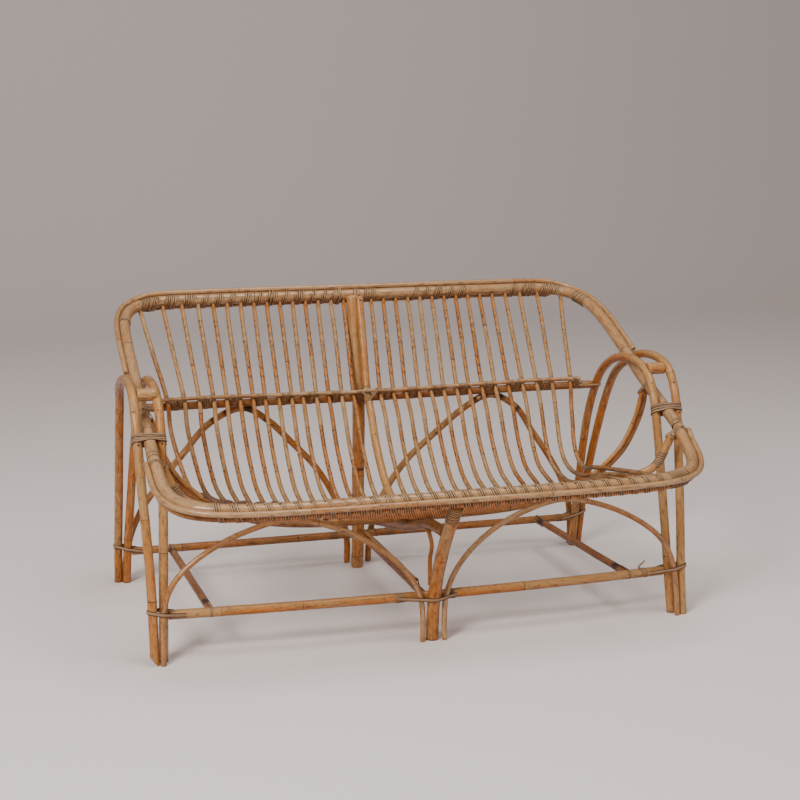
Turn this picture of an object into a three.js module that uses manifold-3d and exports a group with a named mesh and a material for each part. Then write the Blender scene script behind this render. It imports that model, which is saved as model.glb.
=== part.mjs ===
// Rattan garden sofa for two: round poles bent by steam, nailed, and bound with split cane.
// Millimetres, +X along the seat, +Y towards the back, +Z up, with the floor at zero.
import * as THREE from 'three';
import { mergeVertices } from 'three/addons/utils/BufferGeometryUtils.js';
import Module from 'manifold-3d';

// Overall spread of the frame
const FOOT_SPREAD = 1300;
const FRAME_DEPTH = 920;
const RAIL_HEIGHT = 737;
const SEAT_FRONT_HEIGHT = 388;

// Pole and cane diameters
const RIM_DIAMETER = 28;
const HOOP_DIAMETER = 21;
const BEARER_DIAMETER = 20;
const SLAT_DIAMETER = 11;
const COMPANION_DIAMETER = 13;
const FACE_CANE_DIAMETER = 10;
const MID_RAIL_DIAMETER = 20;
const FRONT_ARCH_DIAMETER = 13;
const BACK_ARCH_DIAMETER = 17;
const POST_DIAMETER = 32;
const SEAT_POLE_DIAMETER = 20;
const LEG_DIAMETER = 29;
const CENTRE_BEARER_DIAMETER = 24;
const STRETCHER_DIAMETER = 20;
const SIDE_STRETCHER_DIAMETER = 18;
const PEG_DIAMETER = 29;
const LASH_CANE_DIAMETER = 3;
const BIND_CANE_DIAMETER = 2.6;

// Fits
const SEAT_GAP = 0.3;
const LOOP_GAP = 0.9;
const LASH_PITCH = 6.6;

// Heights and places of single members
const PEG_ABOVE_LASH = 103;
const FRONT_BEARER_HEIGHT = 298;
const FRONT_BEARER_RISE = 72;
const REAR_BEARER_HEIGHT = 243;
const REAR_BEARER_RISE = 227;
const ARCH_PEAK_ACROSS = 334;
const FIRST_SLAT = 38;
const TOP_SLAT_SPACING = 34.2;
const RAIL_SLAT_SPACING = 34.2;
const SEAT_SLAT_SPACING = 33.4;
const FRONT_SLAT_SPACING = 33.4;
const TOP_FAN = 60;
const RAIL_FAN = 26;
const POST_SIDESTEP = 14;
const SIDE_STRETCHER_ACROSS = 515;
const FRONT_STRETCHER_HEIGHT = 104;
const BACK_STRETCHER_HEIGHT = 88;

// Counts
const SLATS_PER_SIDE = 15;
const LEG_BINDING_LOOPS = 9;
const ARM_LASH_LOOPS = 2;

// Colours of the cane
const HONEY = 0xb8793c;
const STRAW = 0xc99a68;
const TOFFEE = 0x8f5526;
const UMBER = 0x6b3c1c;
const PEEL = 0xc7a583;

const wasm = await Module();
wasm.setup();

const half = (size) => size / 2;
const HALF_SPREAD = half(FOOT_SPREAD);
const UP = new THREE.Vector3(0, 0, 1);

const sofa = new THREE.Group();

// A place on the frame from shares of its half spread, its depth and its rail height.
function place([across, back, up]) {
  return new THREE.Vector3(across * HALF_SPREAD, back * FRAME_DEPTH, up * RAIL_HEIGHT);
}

function mirrored(point) {
  return new THREE.Vector3(-point.x, point.y, point.z);
}

// A curve whose rings stand on its own points, so that a ring falls at every seat.
class StationCurve extends THREE.CatmullRomCurve3 {
  getPointAt(u, target) {
    return this.getPoint(u, target);
  }

  getTangentAt(u, target) {
    return this.getTangent(u, target);
  }
}

// The left half of a pole that runs across the sofa mirrors its right half.
function acrossBothSides(rightHalf) {
  const leftHalf = rightHalf.slice(0, -1).map(mirrored).reverse();
  return [...rightHalf, ...leftHalf];
}

function sampled(points, perInterval) {
  return new THREE.CatmullRomCurve3(points).getPoints((points.length - 1) * perInterval);
}

function circle(diameter, sides, turn) {
  const corners = [];
  for (let i = 0; i < sides; i += 1) {
    const angle = (2 * Math.PI * (i + turn)) / sides;
    corners.push(new THREE.Vector2(Math.sin(angle) * half(diameter), -Math.cos(angle) * half(diameter)));
  }
  return new THREE.Shape(corners);
}

// Slides the ring at one end of a pole along the pole until it lies level on the floor.
function levelFoot(geometry, end, direction) {
  const position = geometry.attributes.position;
  const corner = new THREE.Vector3();
  for (let i = 0; i < position.count; i += 1) {
    corner.fromBufferAttribute(position, i);
    const ahead = corner.clone().sub(end).dot(direction);
    if (Math.abs(ahead) < SEAT_GAP) {
      corner.addScaledVector(direction, -corner.z / direction.z);
      position.setXYZ(i, corner.x, corner.y, 0);
    }
  }
}

// Turns a swept surface so that its triangles face out.
function facingOut(geometry) {
  const position = geometry.attributes.position;
  const a = new THREE.Vector3();
  const b = new THREE.Vector3();
  const c = new THREE.Vector3();
  let volume = 0;
  for (let i = 0; i < position.count; i += 3) {
    a.fromBufferAttribute(position, i);
    b.fromBufferAttribute(position, i + 1);
    c.fromBufferAttribute(position, i + 2);
    volume += c.dot(a.cross(b));
  }
  if (volume < 0) {
    for (let i = 0; i < position.count; i += 3) {
      a.fromBufferAttribute(position, i);
      b.fromBufferAttribute(position, i + 1);
      position.setXYZ(i, b.x, b.y, b.z);
      position.setXYZ(i + 1, a.x, a.y, a.z);
    }
  }
  return geometry;
}

// Turn of a pole, in sides, that brings a flat instead of a corner to the front.
const FLAT_FIRST = 0.5;

// A round pole swept along its stations; an end named as a foot is sawn level with the floor.
function pole(stations, diameter, sides, feet = {}, turn = 0) {
  const curve = new StationCurve(stations);
  const steps = stations.length - 1;
  const swept = new THREE.ExtrudeGeometry(circle(diameter, sides, turn), {
    steps,
    bevelEnabled: false,
    extrudePath: curve,
  });
  if (feet.first) {
    levelFoot(swept, stations[0], curve.getTangent(0));
  }
  if (feet.last) {
    levelFoot(swept, stations[steps], curve.getTangent(1));
  }
  return facingOut(swept);
}

function add(name, geometry, colour) {
  const bare = new THREE.BufferGeometry();
  bare.setAttribute('position', geometry.attributes.position);
  if (geometry.index) {
    bare.setIndex(geometry.index);
  }
  const welded = mergeVertices(bare);
  welded.computeVertexNormals();
  const material = new THREE.MeshStandardMaterial({ color: colour, roughness: 0.55, metalness: 0 });
  const mesh = new THREE.Mesh(welded, material);
  mesh.name = name;
  sofa.add(mesh);
  return mesh;
}

// Direction of a line of stations at one of them.
function alongAt(stations, i) {
  const before = stations[Math.max(i - 1, 0)];
  const after = stations[Math.min(i + 1, stations.length - 1)];
  return after.clone().sub(before).normalize();
}

// Stations beside another pole, each pushed off square to it towards a chosen side.
function beside(stations, distance, towards) {
  return stations.map((station, i) => {
    const along = alongAt(stations, i);
    const side = towards(station);
    side.addScaledVector(along, -side.dot(along)).normalize();
    return station.clone().addScaledVector(side, distance);
  });
}

// The first place where a line of stations reaches a value along one axis, and its direction there.
function reach(stations, axis, value) {
  for (let i = 0; i + 1 < stations.length; i += 1) {
    const a = stations[i];
    const b = stations[i + 1];
    if ((a[axis] - value) * (b[axis] - value) <= 0 && a[axis] !== b[axis]) {
      const point = a.clone().lerp(b, (value - a[axis]) / (b[axis] - a[axis]));
      return { point, along: b.clone().sub(a).normalize() };
    }
  }
  const end = stations[stations.length - 1];
  return { point: end.clone(), along: alongAt(stations, stations.length - 1) };
}

// Level direction square to a pole, on the side that looks towards the front or the back.
function levelNormal(along, facing) {
  const normal = new THREE.Vector3(along.y, -along.x, 0).normalize();
  return normal.y * facing < 0 ? normal.negate() : normal;
}

// Rims: the upper one runs over the arms and the back, the front one along the edge of the seat.
const RIM_SIDES = 10;
const CANE_SIDES = 6;
const RIM_STEPS = 2;
const upperRimShares = [
  [0.978, -0.236, 0.634],
  [0.978, -0.22, 0.644],
  [0.977, -0.12, 0.698],
  [0.977, -0.034, 0.741],
  [0.976, 0.13, 0.84],
  [0.973, 0.27, 0.917],
  [0.96, 0.35, 0.953],
  [0.925, 0.414, 0.978],
  [0.862, 0.453, 0.992],
  [0.785, 0.469, 0.997],
  [0.64, 0.47, 0.998],
  [0.38, 0.459, 1],
  [0, 0.451, 1],
];
const upperRimHalf = sampled(upperRimShares.map(place), RIM_STEPS);
const upperRim = acrossBothSides(upperRimHalf);
add('upper_rim', pole(upperRim, RIM_DIAMETER, RIM_SIDES), STRAW);

// The front rim carries on from the end of the upper rim below each arm lash.
const frontRimShares = [
  [0.973, -0.285, 0.597],
  [0.967, -0.33, 0.568],
  [0.945, -0.375, 0.548],
  [0.905, -0.412, 0.536],
  [0.84, -0.44, 0.53],
  [0.74, -0.458, 0.527],
  [0.59, -0.468, 0.526],
  [0.4, -0.472, 0.526],
  [0.2, -0.473, 0.526],
  [0, -0.473, 0.526],
];
const FRONT_DATUM_SHARE = 0.526;
const rimRun = upperRimHalf[0].clone().sub(upperRimHalf[1]).normalize();
const frontRimStart = upperRimHalf[0].clone().addScaledVector(rimRun, SEAT_GAP);
const frontRimSecond = frontRimStart.clone().addScaledVector(rimRun, half(RIM_DIAMETER));
const frontRimRest = frontRimShares.map((shares, i) => {
  const drop = SEAT_FRONT_HEIGHT - FRONT_DATUM_SHARE * RAIL_HEIGHT;
  const taken = Math.min(1, (i + 1) / half(frontRimShares.length));
  return place(shares).addScaledVector(UP, drop * taken);
});
const frontRimRun = sampled([frontRimSecond, ...frontRimRest], RIM_STEPS);
const frontRim = acrossBothSides([frontRimStart, ...frontRimRun]);
add('front_rim', pole(frontRim, RIM_DIAMETER, RIM_SIDES), STRAW);

// Companion canes: nailed outside the arms, on top of the back, and before and under the front rim.
const COMPANION_OFFSET = half(RIM_DIAMETER) + half(COMPANION_DIAMETER) + SEAT_GAP;
const COMPANION_START_SHARE = 0.095;
const ARM_SHARE = 0.976;
// Which side of a rim its cane keeps to: shares across, back and up; the first grows towards the arms.
const upperSideShares = [2.4, 0.12, 1];
const frontSideShares = [3, -1, -0.2];
const lowerSideShares = [0.7, 0.25, -1];
const UPPER_TURN_POWER = 6;
const FRONT_TURN_POWER = 8;
function keptSide(station, [across, back, up], power) {
  const armward = Math.sign(station.x) * Math.pow(Math.abs(station.x) / (ARM_SHARE * HALF_SPREAD), power);
  return new THREE.Vector3(armward * across, back, up);
}
const companionStart = COMPANION_START_SHARE * FRAME_DEPTH;
const companionRun = [
  reach(upperRimHalf, 'y', companionStart).point,
  ...upperRimHalf.filter((station) => station.y > companionStart),
];
const upperCompanion = beside(acrossBothSides(companionRun), COMPANION_OFFSET, (station) => {
  return keptSide(station, upperSideShares, UPPER_TURN_POWER);
});
add('upper_companion_cane', pole(upperCompanion, COMPANION_DIAMETER, CANE_SIDES), HONEY);

const COMPANION_SETBACK = 1;
const frontCompanionRun = frontRim.slice(COMPANION_SETBACK, -COMPANION_SETBACK);
const frontCompanion = beside(frontCompanionRun, COMPANION_OFFSET, (station) => {
  return keptSide(station, frontSideShares, FRONT_TURN_POWER);
});
add('front_companion_cane', pole(frontCompanion, COMPANION_DIAMETER, CANE_SIDES, {}, FLAT_FIRST), STRAW);
const frontLowerCane = beside(frontCompanionRun, COMPANION_OFFSET, (station) => {
  return keptSide(station, lowerSideShares, FRONT_TURN_POWER);
});
add('front_lower_cane', pole(frontLowerCane, COMPANION_DIAMETER, CANE_SIDES), TOFFEE);

// Arm hoops: each arm is a pair of poles bent into an upside-down U, whose ends are the legs.
const HOOP_SIDES = 8;
const HOOP_STEPS = 2;
const outerHoopShares = [
  [1, -0.27, 0],
  [1, -0.255, 0.13],
  [1.003, -0.239, 0.285],
  [1.014, -0.198, 0.525],
  [1.021, -0.162, 0.7],
  [1.021, -0.13, 0.775],
  [1.021, -0.087, 0.812],
  [1.021, 0.004, 0.824],
  [1.021, 0.095, 0.806],
  [1.019, 0.165, 0.768],
  [1.01, 0.223, 0.715],
  [1.004, 0.303, 0.55],
  [1, 0.387, 0.3],
  [1, 0.43, 0.14],
  [1, 0.455, 0],
];
const innerHoopShares = [
  [0.966, -0.25, 0],
  [0.96, -0.234, 0.13],
  [0.953, -0.219, 0.275],
  [0.941, -0.19, 0.52],
  [0.936, -0.158, 0.695],
  [0.936, -0.126, 0.765],
  [0.936, -0.08, 0.802],
  [0.936, 0, 0.816],
  [0.936, 0.09, 0.802],
  [0.936, 0.165, 0.762],
  [0.937, 0.224, 0.7],
  [0.945, 0.31, 0.53],
  [0.957, 0.38, 0.285],
  [0.964, 0.418, 0.14],
  [0.969, 0.443, 0],
];
const outerHoop = sampled(outerHoopShares.map(place), HOOP_STEPS);
const innerHoop = sampled(innerHoopShares.map(place), HOOP_STEPS);
const innerHoopBackLeg = [...innerHoop].reverse();
const bothFeet = { first: true, last: true };

function toManifold(geometry) {
  const bare = new THREE.BufferGeometry();
  bare.setAttribute('position', geometry.attributes.position);
  const welded = mergeVertices(bare);
  return new wasm.Manifold(new wasm.Mesh({
    numProp: 3,
    vertProperties: new Float32Array(welded.attributes.position.array),
    triVerts: new Uint32Array(welded.index.array),
  }));
}

function fromManifold(solid) {
  const mesh = solid.getMesh();
  const geometry = new THREE.BufferGeometry();
  geometry.setAttribute('position', new THREE.BufferAttribute(mesh.vertProperties, mesh.numProp));
  geometry.setIndex(new THREE.BufferAttribute(mesh.triVerts, 1));
  return geometry;
}

// Spacer peg between the two poles of an arm, above the lash; it is one piece with the inner pole.
const LASH_SHARE = 0.66;
const lashHeight = LASH_SHARE * RAIL_HEIGHT;
function spacerPeg() {
  const outside = reach(outerHoop, 'z', lashHeight + PEG_ABOVE_LASH).point;
  const inside = outside.clone().setX(reach(innerHoop, 'z', outside.z).point.x);
  outside.x -= half(HOOP_DIAMETER) + SEAT_GAP;
  return [inside, outside];
}

for (const [side, flip] of [['right', (point) => point.clone()], ['left', mirrored]]) {
  const outer = pole(outerHoop.map(flip), HOOP_DIAMETER, HOOP_SIDES, bothFeet);
  add(`arm_hoop_outer_${side}`, outer, HONEY);
  const inner = toManifold(pole(innerHoop.map(flip), HOOP_DIAMETER, HOOP_SIDES, bothFeet));
  const peg = toManifold(pole(spacerPeg().map(flip), PEG_DIAMETER, RIM_SIDES));
  add(`arm_hoop_inner_${side}`, fromManifold(inner.add(peg)), HONEY);
}

// Mid rail of the back, bowed between the back legs of the inner hoops.
const midRailShares = [
  [0.7, 0.285, 0.665],
  [0.466, 0.319, 0.656],
  [0.234, 0.34, 0.649],
  [0, 0.35, 0.645],
];
const RAIL_END_SHARE = 0.676;
const RAIL_STEPS = 3;
const railEnd = reach(innerHoopBackLeg, 'z', RAIL_END_SHARE * RAIL_HEIGHT).point;
railEnd.x -= half(HOOP_DIAMETER) + LOOP_GAP;
const railSecond = railEnd.clone();
railSecond.x -= MID_RAIL_DIAMETER;
const midRailRun = sampled([railSecond, ...midRailShares.map(place)], RAIL_STEPS);
const midRail = acrossBothSides([railEnd, ...midRailRun]);
add('mid_rail', pole(midRail, MID_RAIL_DIAMETER, HOOP_SIDES), TOFFEE);

// Seat bearers: two poles that hang from the arms and carry the slats across the sofa.
const REAR_BEARER_SHARE = -0.052;
const FRONT_BEARER_SHARE = -0.245;
const FRONT_BEARER_POWER = 1.5;
const REAR_BEARER_POWER = 4.2;

function frontBearerAt(across) {
  const rise = FRONT_BEARER_RISE * Math.pow(Math.abs(across) / HALF_SPREAD, FRONT_BEARER_POWER);
  return new THREE.Vector3(across, FRONT_BEARER_SHARE * FRAME_DEPTH, FRONT_BEARER_HEIGHT + rise);
}

function rearBearerAt(across) {
  const rise = REAR_BEARER_RISE * Math.pow(Math.abs(across) / HALF_SPREAD, REAR_BEARER_POWER);
  return new THREE.Vector3(across, REAR_BEARER_SHARE * FRAME_DEPTH, REAR_BEARER_HEIGHT + rise);
}

// Slat lines: down the back, through the dip of the seat and up over the front rim.
const TOP_DROP_SHARE = 0.3;
const SIDE_LINE_SHARE = 0.778;
const centreSeatShares = [
  [0.29, 0.59],
  [0.253, 0.515],
  [0.205, 0.448],
  [0.139, 0.382],
  [0.065, 0.352],
];
const sideSeatShares = [
  [0.223, 0.609],
  [0.19, 0.543],
  [0.163, 0.495],
  [0.12, 0.45],
  [0.05, 0.428],
];
const { lerp, degToRad } = THREE.MathUtils;

// The point of a crossing pole's centre line when it rests on another pole, on the side it is pushed to.
function resting(support, supportAlong, line, distance, side) {
  const off = new THREE.Vector3().crossVectors(supportAlong, line).normalize();
  if (off.dot(side) < 0) {
    off.negate();
  }
  return support.clone().addScaledVector(off, distance);
}

const FORWARD = new THREE.Vector3(0, -1, 0);
const ACROSS = new THREE.Vector3(1, 0, 0);

// End of a slat: cut square and butted against a rim, in line with the rim's centre.
function buttedEnd(rim, from, diameter) {
  const run = rim.point.clone().sub(from).normalize();
  const lean = Math.abs(run.dot(rim.along));
  const square = Math.sqrt(1 - lean * lean);
  const setback = (half(RIM_DIAMETER) + half(diameter) * lean) / square + SEAT_GAP;
  return rim.point.clone().addScaledVector(run, -setback);
}

// Top of the centre seat pole: in front of the upper rim, just under its middle.
function facingTop(rim, downTo, diameter) {
  const before = half(RIM_DIAMETER) + half(diameter) + SEAT_GAP;
  const top = rim.point.clone().addScaledVector(levelNormal(rim.along, -1), before);
  return top.addScaledVector(UP, -half(RIM_DIAMETER) * TOP_DROP_SHARE);
}

// One slat line from its distances across at the top rim, the mid rail, the seat and the front rim.
const HALFWAY = 0.5;
function slatLine([topAcross, railAcross, seatAcross, frontAcross], diameter, topOf) {
  const bend = Math.min(1, Math.pow(seatAcross / (SIDE_LINE_SHARE * HALF_SPREAD), 2));
  const onRail = half(MID_RAIL_DIAMETER) + half(diameter) + SEAT_GAP;
  const onBearer = half(BEARER_DIAMETER) + half(diameter) + SEAT_GAP;
  const rim = reach(upperRim, 'x', topAcross);
  const rail = reach(midRail, 'x', railAcross);
  const top = topOf(rim, rail.point.clone().addScaledVector(FORWARD, onRail), diameter);
  const seat = centreSeatShares.map((centre, i) => {
    const side = sideSeatShares[i];
    const way = (i + 1) / centreSeatShares.length;
    return new THREE.Vector3(
      lerp(railAcross, seatAcross, way),
      lerp(centre[0], side[0], bend) * FRAME_DEPTH,
      lerp(centre[1], side[1], bend) * RAIL_HEIGHT,
    );
  });
  const front = reach(frontRim, 'x', frontAcross);
  const betweenAcross = lerp(seatAcross, frontAcross, HALFWAY);
  const rearRest = rearBearerAt(seatAcross);
  const frontRest = frontBearerAt(betweenAcross);
  const rearAlong = rearBearerAt(seatAcross + diameter).sub(rearBearerAt(seatAcross - diameter));
  const frontAlong = frontBearerAt(betweenAcross + diameter).sub(frontBearerAt(betweenAcross - diameter));
  const above = rail.point.clone().sub(top).normalize();
  const below = seat[0].clone().sub(rail.point).normalize();
  const downBack = above.clone().add(below);
  const intoSeat = frontRest.clone().sub(seat[seat.length - 1]);
  const outOfSeat = front.point.clone().sub(rearRest);
  const lastRest = resting(frontRest, frontAlong, outOfSeat, onBearer, UP);
  const bent = above.angleTo(below);
  const middle = resting(rail.point, rail.along, downBack, onRail / Math.cos(half(bent)), FORWARD);
  return [
    top,
    top.clone().lerp(middle, HALFWAY),
    middle,
    ...seat,
    resting(rearRest, rearAlong, intoSeat, onBearer, UP),
    lastRest,
    buttedEnd(front, lastRest, diameter),
  ];
}

const FAN_POWER = 8;
function slatStations(sign, i) {
  const fan = Math.pow(i / (SLATS_PER_SIDE - 1), FAN_POWER);
  const across = [
    sign * (FIRST_SLAT + TOP_SLAT_SPACING * i + TOP_FAN * fan),
    sign * (FIRST_SLAT + RAIL_SLAT_SPACING * i + RAIL_FAN * fan),
    sign * (FIRST_SLAT + SEAT_SLAT_SPACING * i),
    sign * (FIRST_SLAT + FRONT_SLAT_SPACING * i),
  ];
  return slatLine(across, SLAT_DIAMETER, buttedEnd);
}

for (const [side, sign] of [['left', -1], ['right', 1]]) {
  for (let i = 0; i < SLATS_PER_SIDE; i += 1) {
    const number = String(i + 1).padStart(2, '0');
    const colour = i % 3 === 1 ? STRAW : HONEY;
    add(`slat_${side}_${number}`, pole(slatStations(sign, i), SLAT_DIAMETER, CANE_SIDES), colour);
  }
}

// Centre seat pole: a thicker pole that follows the line of the slats and lies on the front rim.
const seatPole = slatLine([0, 0, 0, 0], SEAT_POLE_DIAMETER, facingTop);
add('centre_seat_pole', pole(seatPole, SEAT_POLE_DIAMETER, HOOP_SIDES), HONEY);

// Face cane nailed over the slats at the mid rail; it swells out round the centre seat pole.
const FACE_CANE_LIFT = 6;
function faceStation(stations, diameter) {
  const middle = stations[2];
  const upward = stations[1].clone().sub(middle).normalize();
  const lifted = middle.clone().addScaledVector(upward, FACE_CANE_LIFT);
  const reachOut = half(diameter) + half(FACE_CANE_DIAMETER) + SEAT_GAP;
  return resting(lifted, ACROSS, upward, reachOut, FORWARD);
}
const FACE_OVERHANG_SHARE = -0.25;
const faceHalf = [];
for (let i = SLATS_PER_SIDE - 1; i >= 0; i -= 2) {
  faceHalf.push(faceStation(slatStations(1, i), SLAT_DIAMETER));
}
const faceCentre = faceStation(seatPole, SEAT_POLE_DIAMETER);
const faceShoulder = faceCentre.clone().setX(half(SEAT_POLE_DIAMETER));
const faceEnd = faceHalf[0].clone().lerp(faceHalf[1], FACE_OVERHANG_SHARE);
const faceCane = acrossBothSides([faceEnd, ...faceHalf, faceShoulder, faceCentre]);
add('mid_rail_face_cane', pole(faceCane, FACE_CANE_DIAMETER, CANE_SIDES), STRAW);

// Seat bearers, with arms that rise outside the last slat to the rims.
const frontArmShares = [
  [0.885, 0.506],
  [0.918, 0.55],
  [0.94, 0.59],
];
const rearArmShares = [
  [0.872, 0.512],
  [0.915, 0.575],
  [0.946, 0.642],
  [0.957, 0.7],
];
const ARM_END_DEGREES = 215;
function bearer(at, backShare, armShares, rim, slatSpacing) {
  const onRim = half(RIM_DIAMETER) + half(BEARER_DIAMETER) + SEAT_GAP;
  const angle = degToRad(ARM_END_DEGREES);
  const rimPoint = reach(rim, 'y', backShare * FRAME_DEPTH).point;
  const armEnd = rimPoint.clone();
  armEnd.x += Math.cos(angle) * onRim;
  armEnd.z += Math.sin(angle) * onRim;
  const arm = armShares.map(([across, up]) => place([across, backShare, up]));
  const lastSlat = FIRST_SLAT + slatSpacing * (SLATS_PER_SIDE - 1);
  const under = [at(lastSlat + SLAT_DIAMETER)];
  for (let i = SLATS_PER_SIDE - 1; i >= 0; i -= 1) {
    under.push(at(FIRST_SLAT + slatSpacing * i));
  }
  return acrossBothSides([armEnd, ...arm.reverse(), ...under, at(0)]);
}
const betweenSpacing = lerp(SEAT_SLAT_SPACING, FRONT_SLAT_SPACING, HALFWAY);
const frontBearer = bearer(frontBearerAt, FRONT_BEARER_SHARE, frontArmShares, frontRim, betweenSpacing);
const rearBearer = bearer(rearBearerAt, REAR_BEARER_SHARE, rearArmShares, upperRim, SEAT_SLAT_SPACING);
add('front_seat_bearer', pole(frontBearer, BEARER_DIAMETER, HOOP_SIDES), HONEY);
add('rear_seat_bearer', pole(rearBearer, BEARER_DIAMETER, HOOP_SIDES), TOFFEE);

// Centre back post: behind the mid rail, saddled to the upper rim.
const postShares = [
  [0.403, 0],
  [0.389, 0.141],
  [0.381, 0.37],
];
const post = postShares.map(([back, up]) => place([0, back, up]));
const railCentre = reach(midRail, 'x', 0).point;
const SADDLE_SHARE = 0.5;
const behindRail = half(MID_RAIL_DIAMETER) + half(POST_DIAMETER) + SEAT_GAP;
post.push(railCentre.clone().add(new THREE.Vector3(0, behindRail, 0)));
const rimCentre = reach(upperRim, 'x', 0).point;
post.push(rimCentre.clone().addScaledVector(UP, -half(RIM_DIAMETER) * SADDLE_SHARE));
post.forEach((station) => {
  station.x -= POST_SIDESTEP;
});
const firstFoot = { first: true };
const rimRoom = toManifold(pole(upperRim, RIM_DIAMETER + SEAT_GAP + SEAT_GAP, RIM_SIDES));
const postRun = sampled(post, RIM_STEPS);
const postSolid = toManifold(pole(postRun, POST_DIAMETER, RIM_SIDES, firstFoot));
add('centre_back_post', fromManifold(postSolid.subtract(rimRoom)), UMBER);

// Centre front leg: leans forward and props the cane under the front rim.
// Its shares are of the frame's depth and of the height of the front rim.
const legShares = [
  [-0.275, 0],
  [-0.281, 0.133],
  [-0.291, 0.268],
  [-0.324, 0.456],
  [-0.366, 0.627],
];
const leg = legShares.map(([back, up]) => new THREE.Vector3(0, back * FRAME_DEPTH, up * SEAT_FRONT_HEIGHT));
const LEG_TOP_GAP = 0.8;
const propped = reach(frontLowerCane, 'x', 0).point;
const legRun = propped.clone().sub(leg[leg.length - 1]).normalize();
const legTop = propped.clone().addScaledVector(legRun, -half(COMPANION_DIAMETER) - LEG_TOP_GAP);
const BINDING_PITCH = BIND_CANE_DIAMETER + LOOP_GAP;
const SPARE_LOOPS = 2;
const START_LOOPS = 1.5;
const BINDING_LENGTH = BINDING_PITCH * (LEG_BINDING_LOOPS + SPARE_LOOPS);
leg.push(legTop.clone().addScaledVector(legRun, -BINDING_LENGTH), legTop);
add('centre_front_leg', pole(leg, LEG_DIAMETER, RIM_SIDES, firstFoot), HONEY);

// Centre bearer: from the back post up to the front leg, under both seat bearers, coped at its ends.
const underBearer = half(CENTRE_BEARER_DIAMETER) + half(BEARER_DIAMETER) + SEAT_GAP;
const bearerLine = frontBearerAt(0).sub(rearBearerAt(0));
const rearPoint = resting(rearBearerAt(0), ACROSS, bearerLine, -underBearer, UP);
const frontPoint = resting(frontBearerAt(0), ACROSS, bearerLine, -underBearer, UP);
const LEG_JOINT_SHARE = 0.731;
const POST_JOINT_SHARE = 0.19;
const legJoint = reach(leg, 'z', LEG_JOINT_SHARE * SEAT_FRONT_HEIGHT).point;
const postJoint = reach(post, 'z', POST_JOINT_SHARE * RAIL_HEIGHT).point.setX(0);
const centreBearer = [legJoint, frontPoint, rearPoint, postJoint];
const centreBearerSolid = toManifold(pole(centreBearer, CENTRE_BEARER_DIAMETER, HOOP_SIDES));
const legRoom = toManifold(pole(leg, LEG_DIAMETER + SEAT_GAP + SEAT_GAP, RIM_SIDES, firstFoot));
const postRoom = toManifold(pole(postRun, POST_DIAMETER + SEAT_GAP + SEAT_GAP, RIM_SIDES, firstFoot));
const coped = centreBearerSolid.subtract(legRoom).subtract(postRoom);
add('centre_seat_bearer', fromManifold(coped), HONEY);

// Stretchers near the floor: one across the front legs, one across the back legs, three from front to back.
const BOW_ACROSS_SHARE = 0.6;
const BOW_BACK_SHARE = 0.8;
function crossStretcher(hoop, height, centre) {
  const end = reach(hoop, 'z', height).point;
  end.x -= half(HOOP_DIAMETER) + LOOP_GAP;
  const second = end.clone();
  second.x -= STRETCHER_DIAMETER;
  const quarter = end.clone().lerp(centre, BOW_ACROSS_SHARE);
  quarter.y = lerp(end.y, centre.y, BOW_BACK_SHARE);
  return acrossBothSides([end, second, ...sampled([second, quarter, centre], RAIL_STEPS).slice(1)]);
}
const frontCentre = reach(leg, 'z', FRONT_STRETCHER_HEIGHT).point;
const backCentre = reach(post, 'z', BACK_STRETCHER_HEIGHT).point.setX(0);
frontCentre.y += half(LEG_DIAMETER) + half(STRETCHER_DIAMETER) + LOOP_GAP;
backCentre.y += half(POST_DIAMETER) + half(STRETCHER_DIAMETER) + SEAT_GAP;
const frontStretcher = crossStretcher(innerHoop, FRONT_STRETCHER_HEIGHT, frontCentre);
const backStretcher = crossStretcher(innerHoopBackLeg, BACK_STRETCHER_HEIGHT, backCentre);
add('front_stretcher', pole(frontStretcher, STRETCHER_DIAMETER, HOOP_SIDES), TOFFEE);
add('back_stretcher', pole(backStretcher, STRETCHER_DIAMETER, HOOP_SIDES), TOFFEE);

// A stretcher from the back of the front stretcher to a member behind it.
function lengthwiseStretcher(name, across, behind) {
  const front = reach(frontStretcher, 'x', across).point;
  front.y += half(STRETCHER_DIAMETER) + LOOP_GAP;
  const run = [front, front.clone().lerp(behind, HALFWAY), behind];
  add(name, pole(run, SIDE_STRETCHER_DIAMETER, HOOP_SIDES), UMBER);
}
for (const [side, sign] of [['left', -1], ['right', 1]]) {
  const across = sign * SIDE_STRETCHER_ACROSS;
  const behind = reach(backStretcher, 'x', across).point;
  behind.y -= half(STRETCHER_DIAMETER) + LOOP_GAP;
  lengthwiseStretcher(`side_stretcher_${side}`, across, behind);
}
const beforePost = reach(post, 'z', FRONT_STRETCHER_HEIGHT).point;
beforePost.y -= half(POST_DIAMETER) + LOOP_GAP;
lengthwiseStretcher('centre_stretcher', beforePost.x, beforePost);

// Arches: the front pair hold up the front bearer, the back pair hold up the mid rail.
// Their heights are shares of the height of their own peak.
const frontArchOutsideShares = [
  [0.972, -0.279, 0],
  [0.971, -0.272, 0.192],
  [0.966, -0.262, 0.359],
  [0.948, -0.254, 0.503],
  [0.908, -0.249, 0.635],
  [0.82, -0.246, 0.783],
  [0.68, -0.245, 0.925],
];
const frontArchInsideShares = [
  [0.36, -0.245, 0.922],
  [0.25, -0.25, 0.814],
  [0.155, -0.262, 0.673],
  [0.09, -0.274, 0.527],
  [0.05, -0.284, 0.359],
  [0.04, -0.288, 0.168],
  [0.042, -0.288, 0],
];
const backArchOutsideShares = [
  [0.972, 0.471, 0],
  [0.966, 0.459, 0.127],
  [0.946, 0.443, 0.278],
  [0.9, 0.425, 0.429],
  [0.83, 0.405, 0.579],
  [0.74, 0.38, 0.744],
  [0.64, 0.347, 0.918],
];
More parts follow.
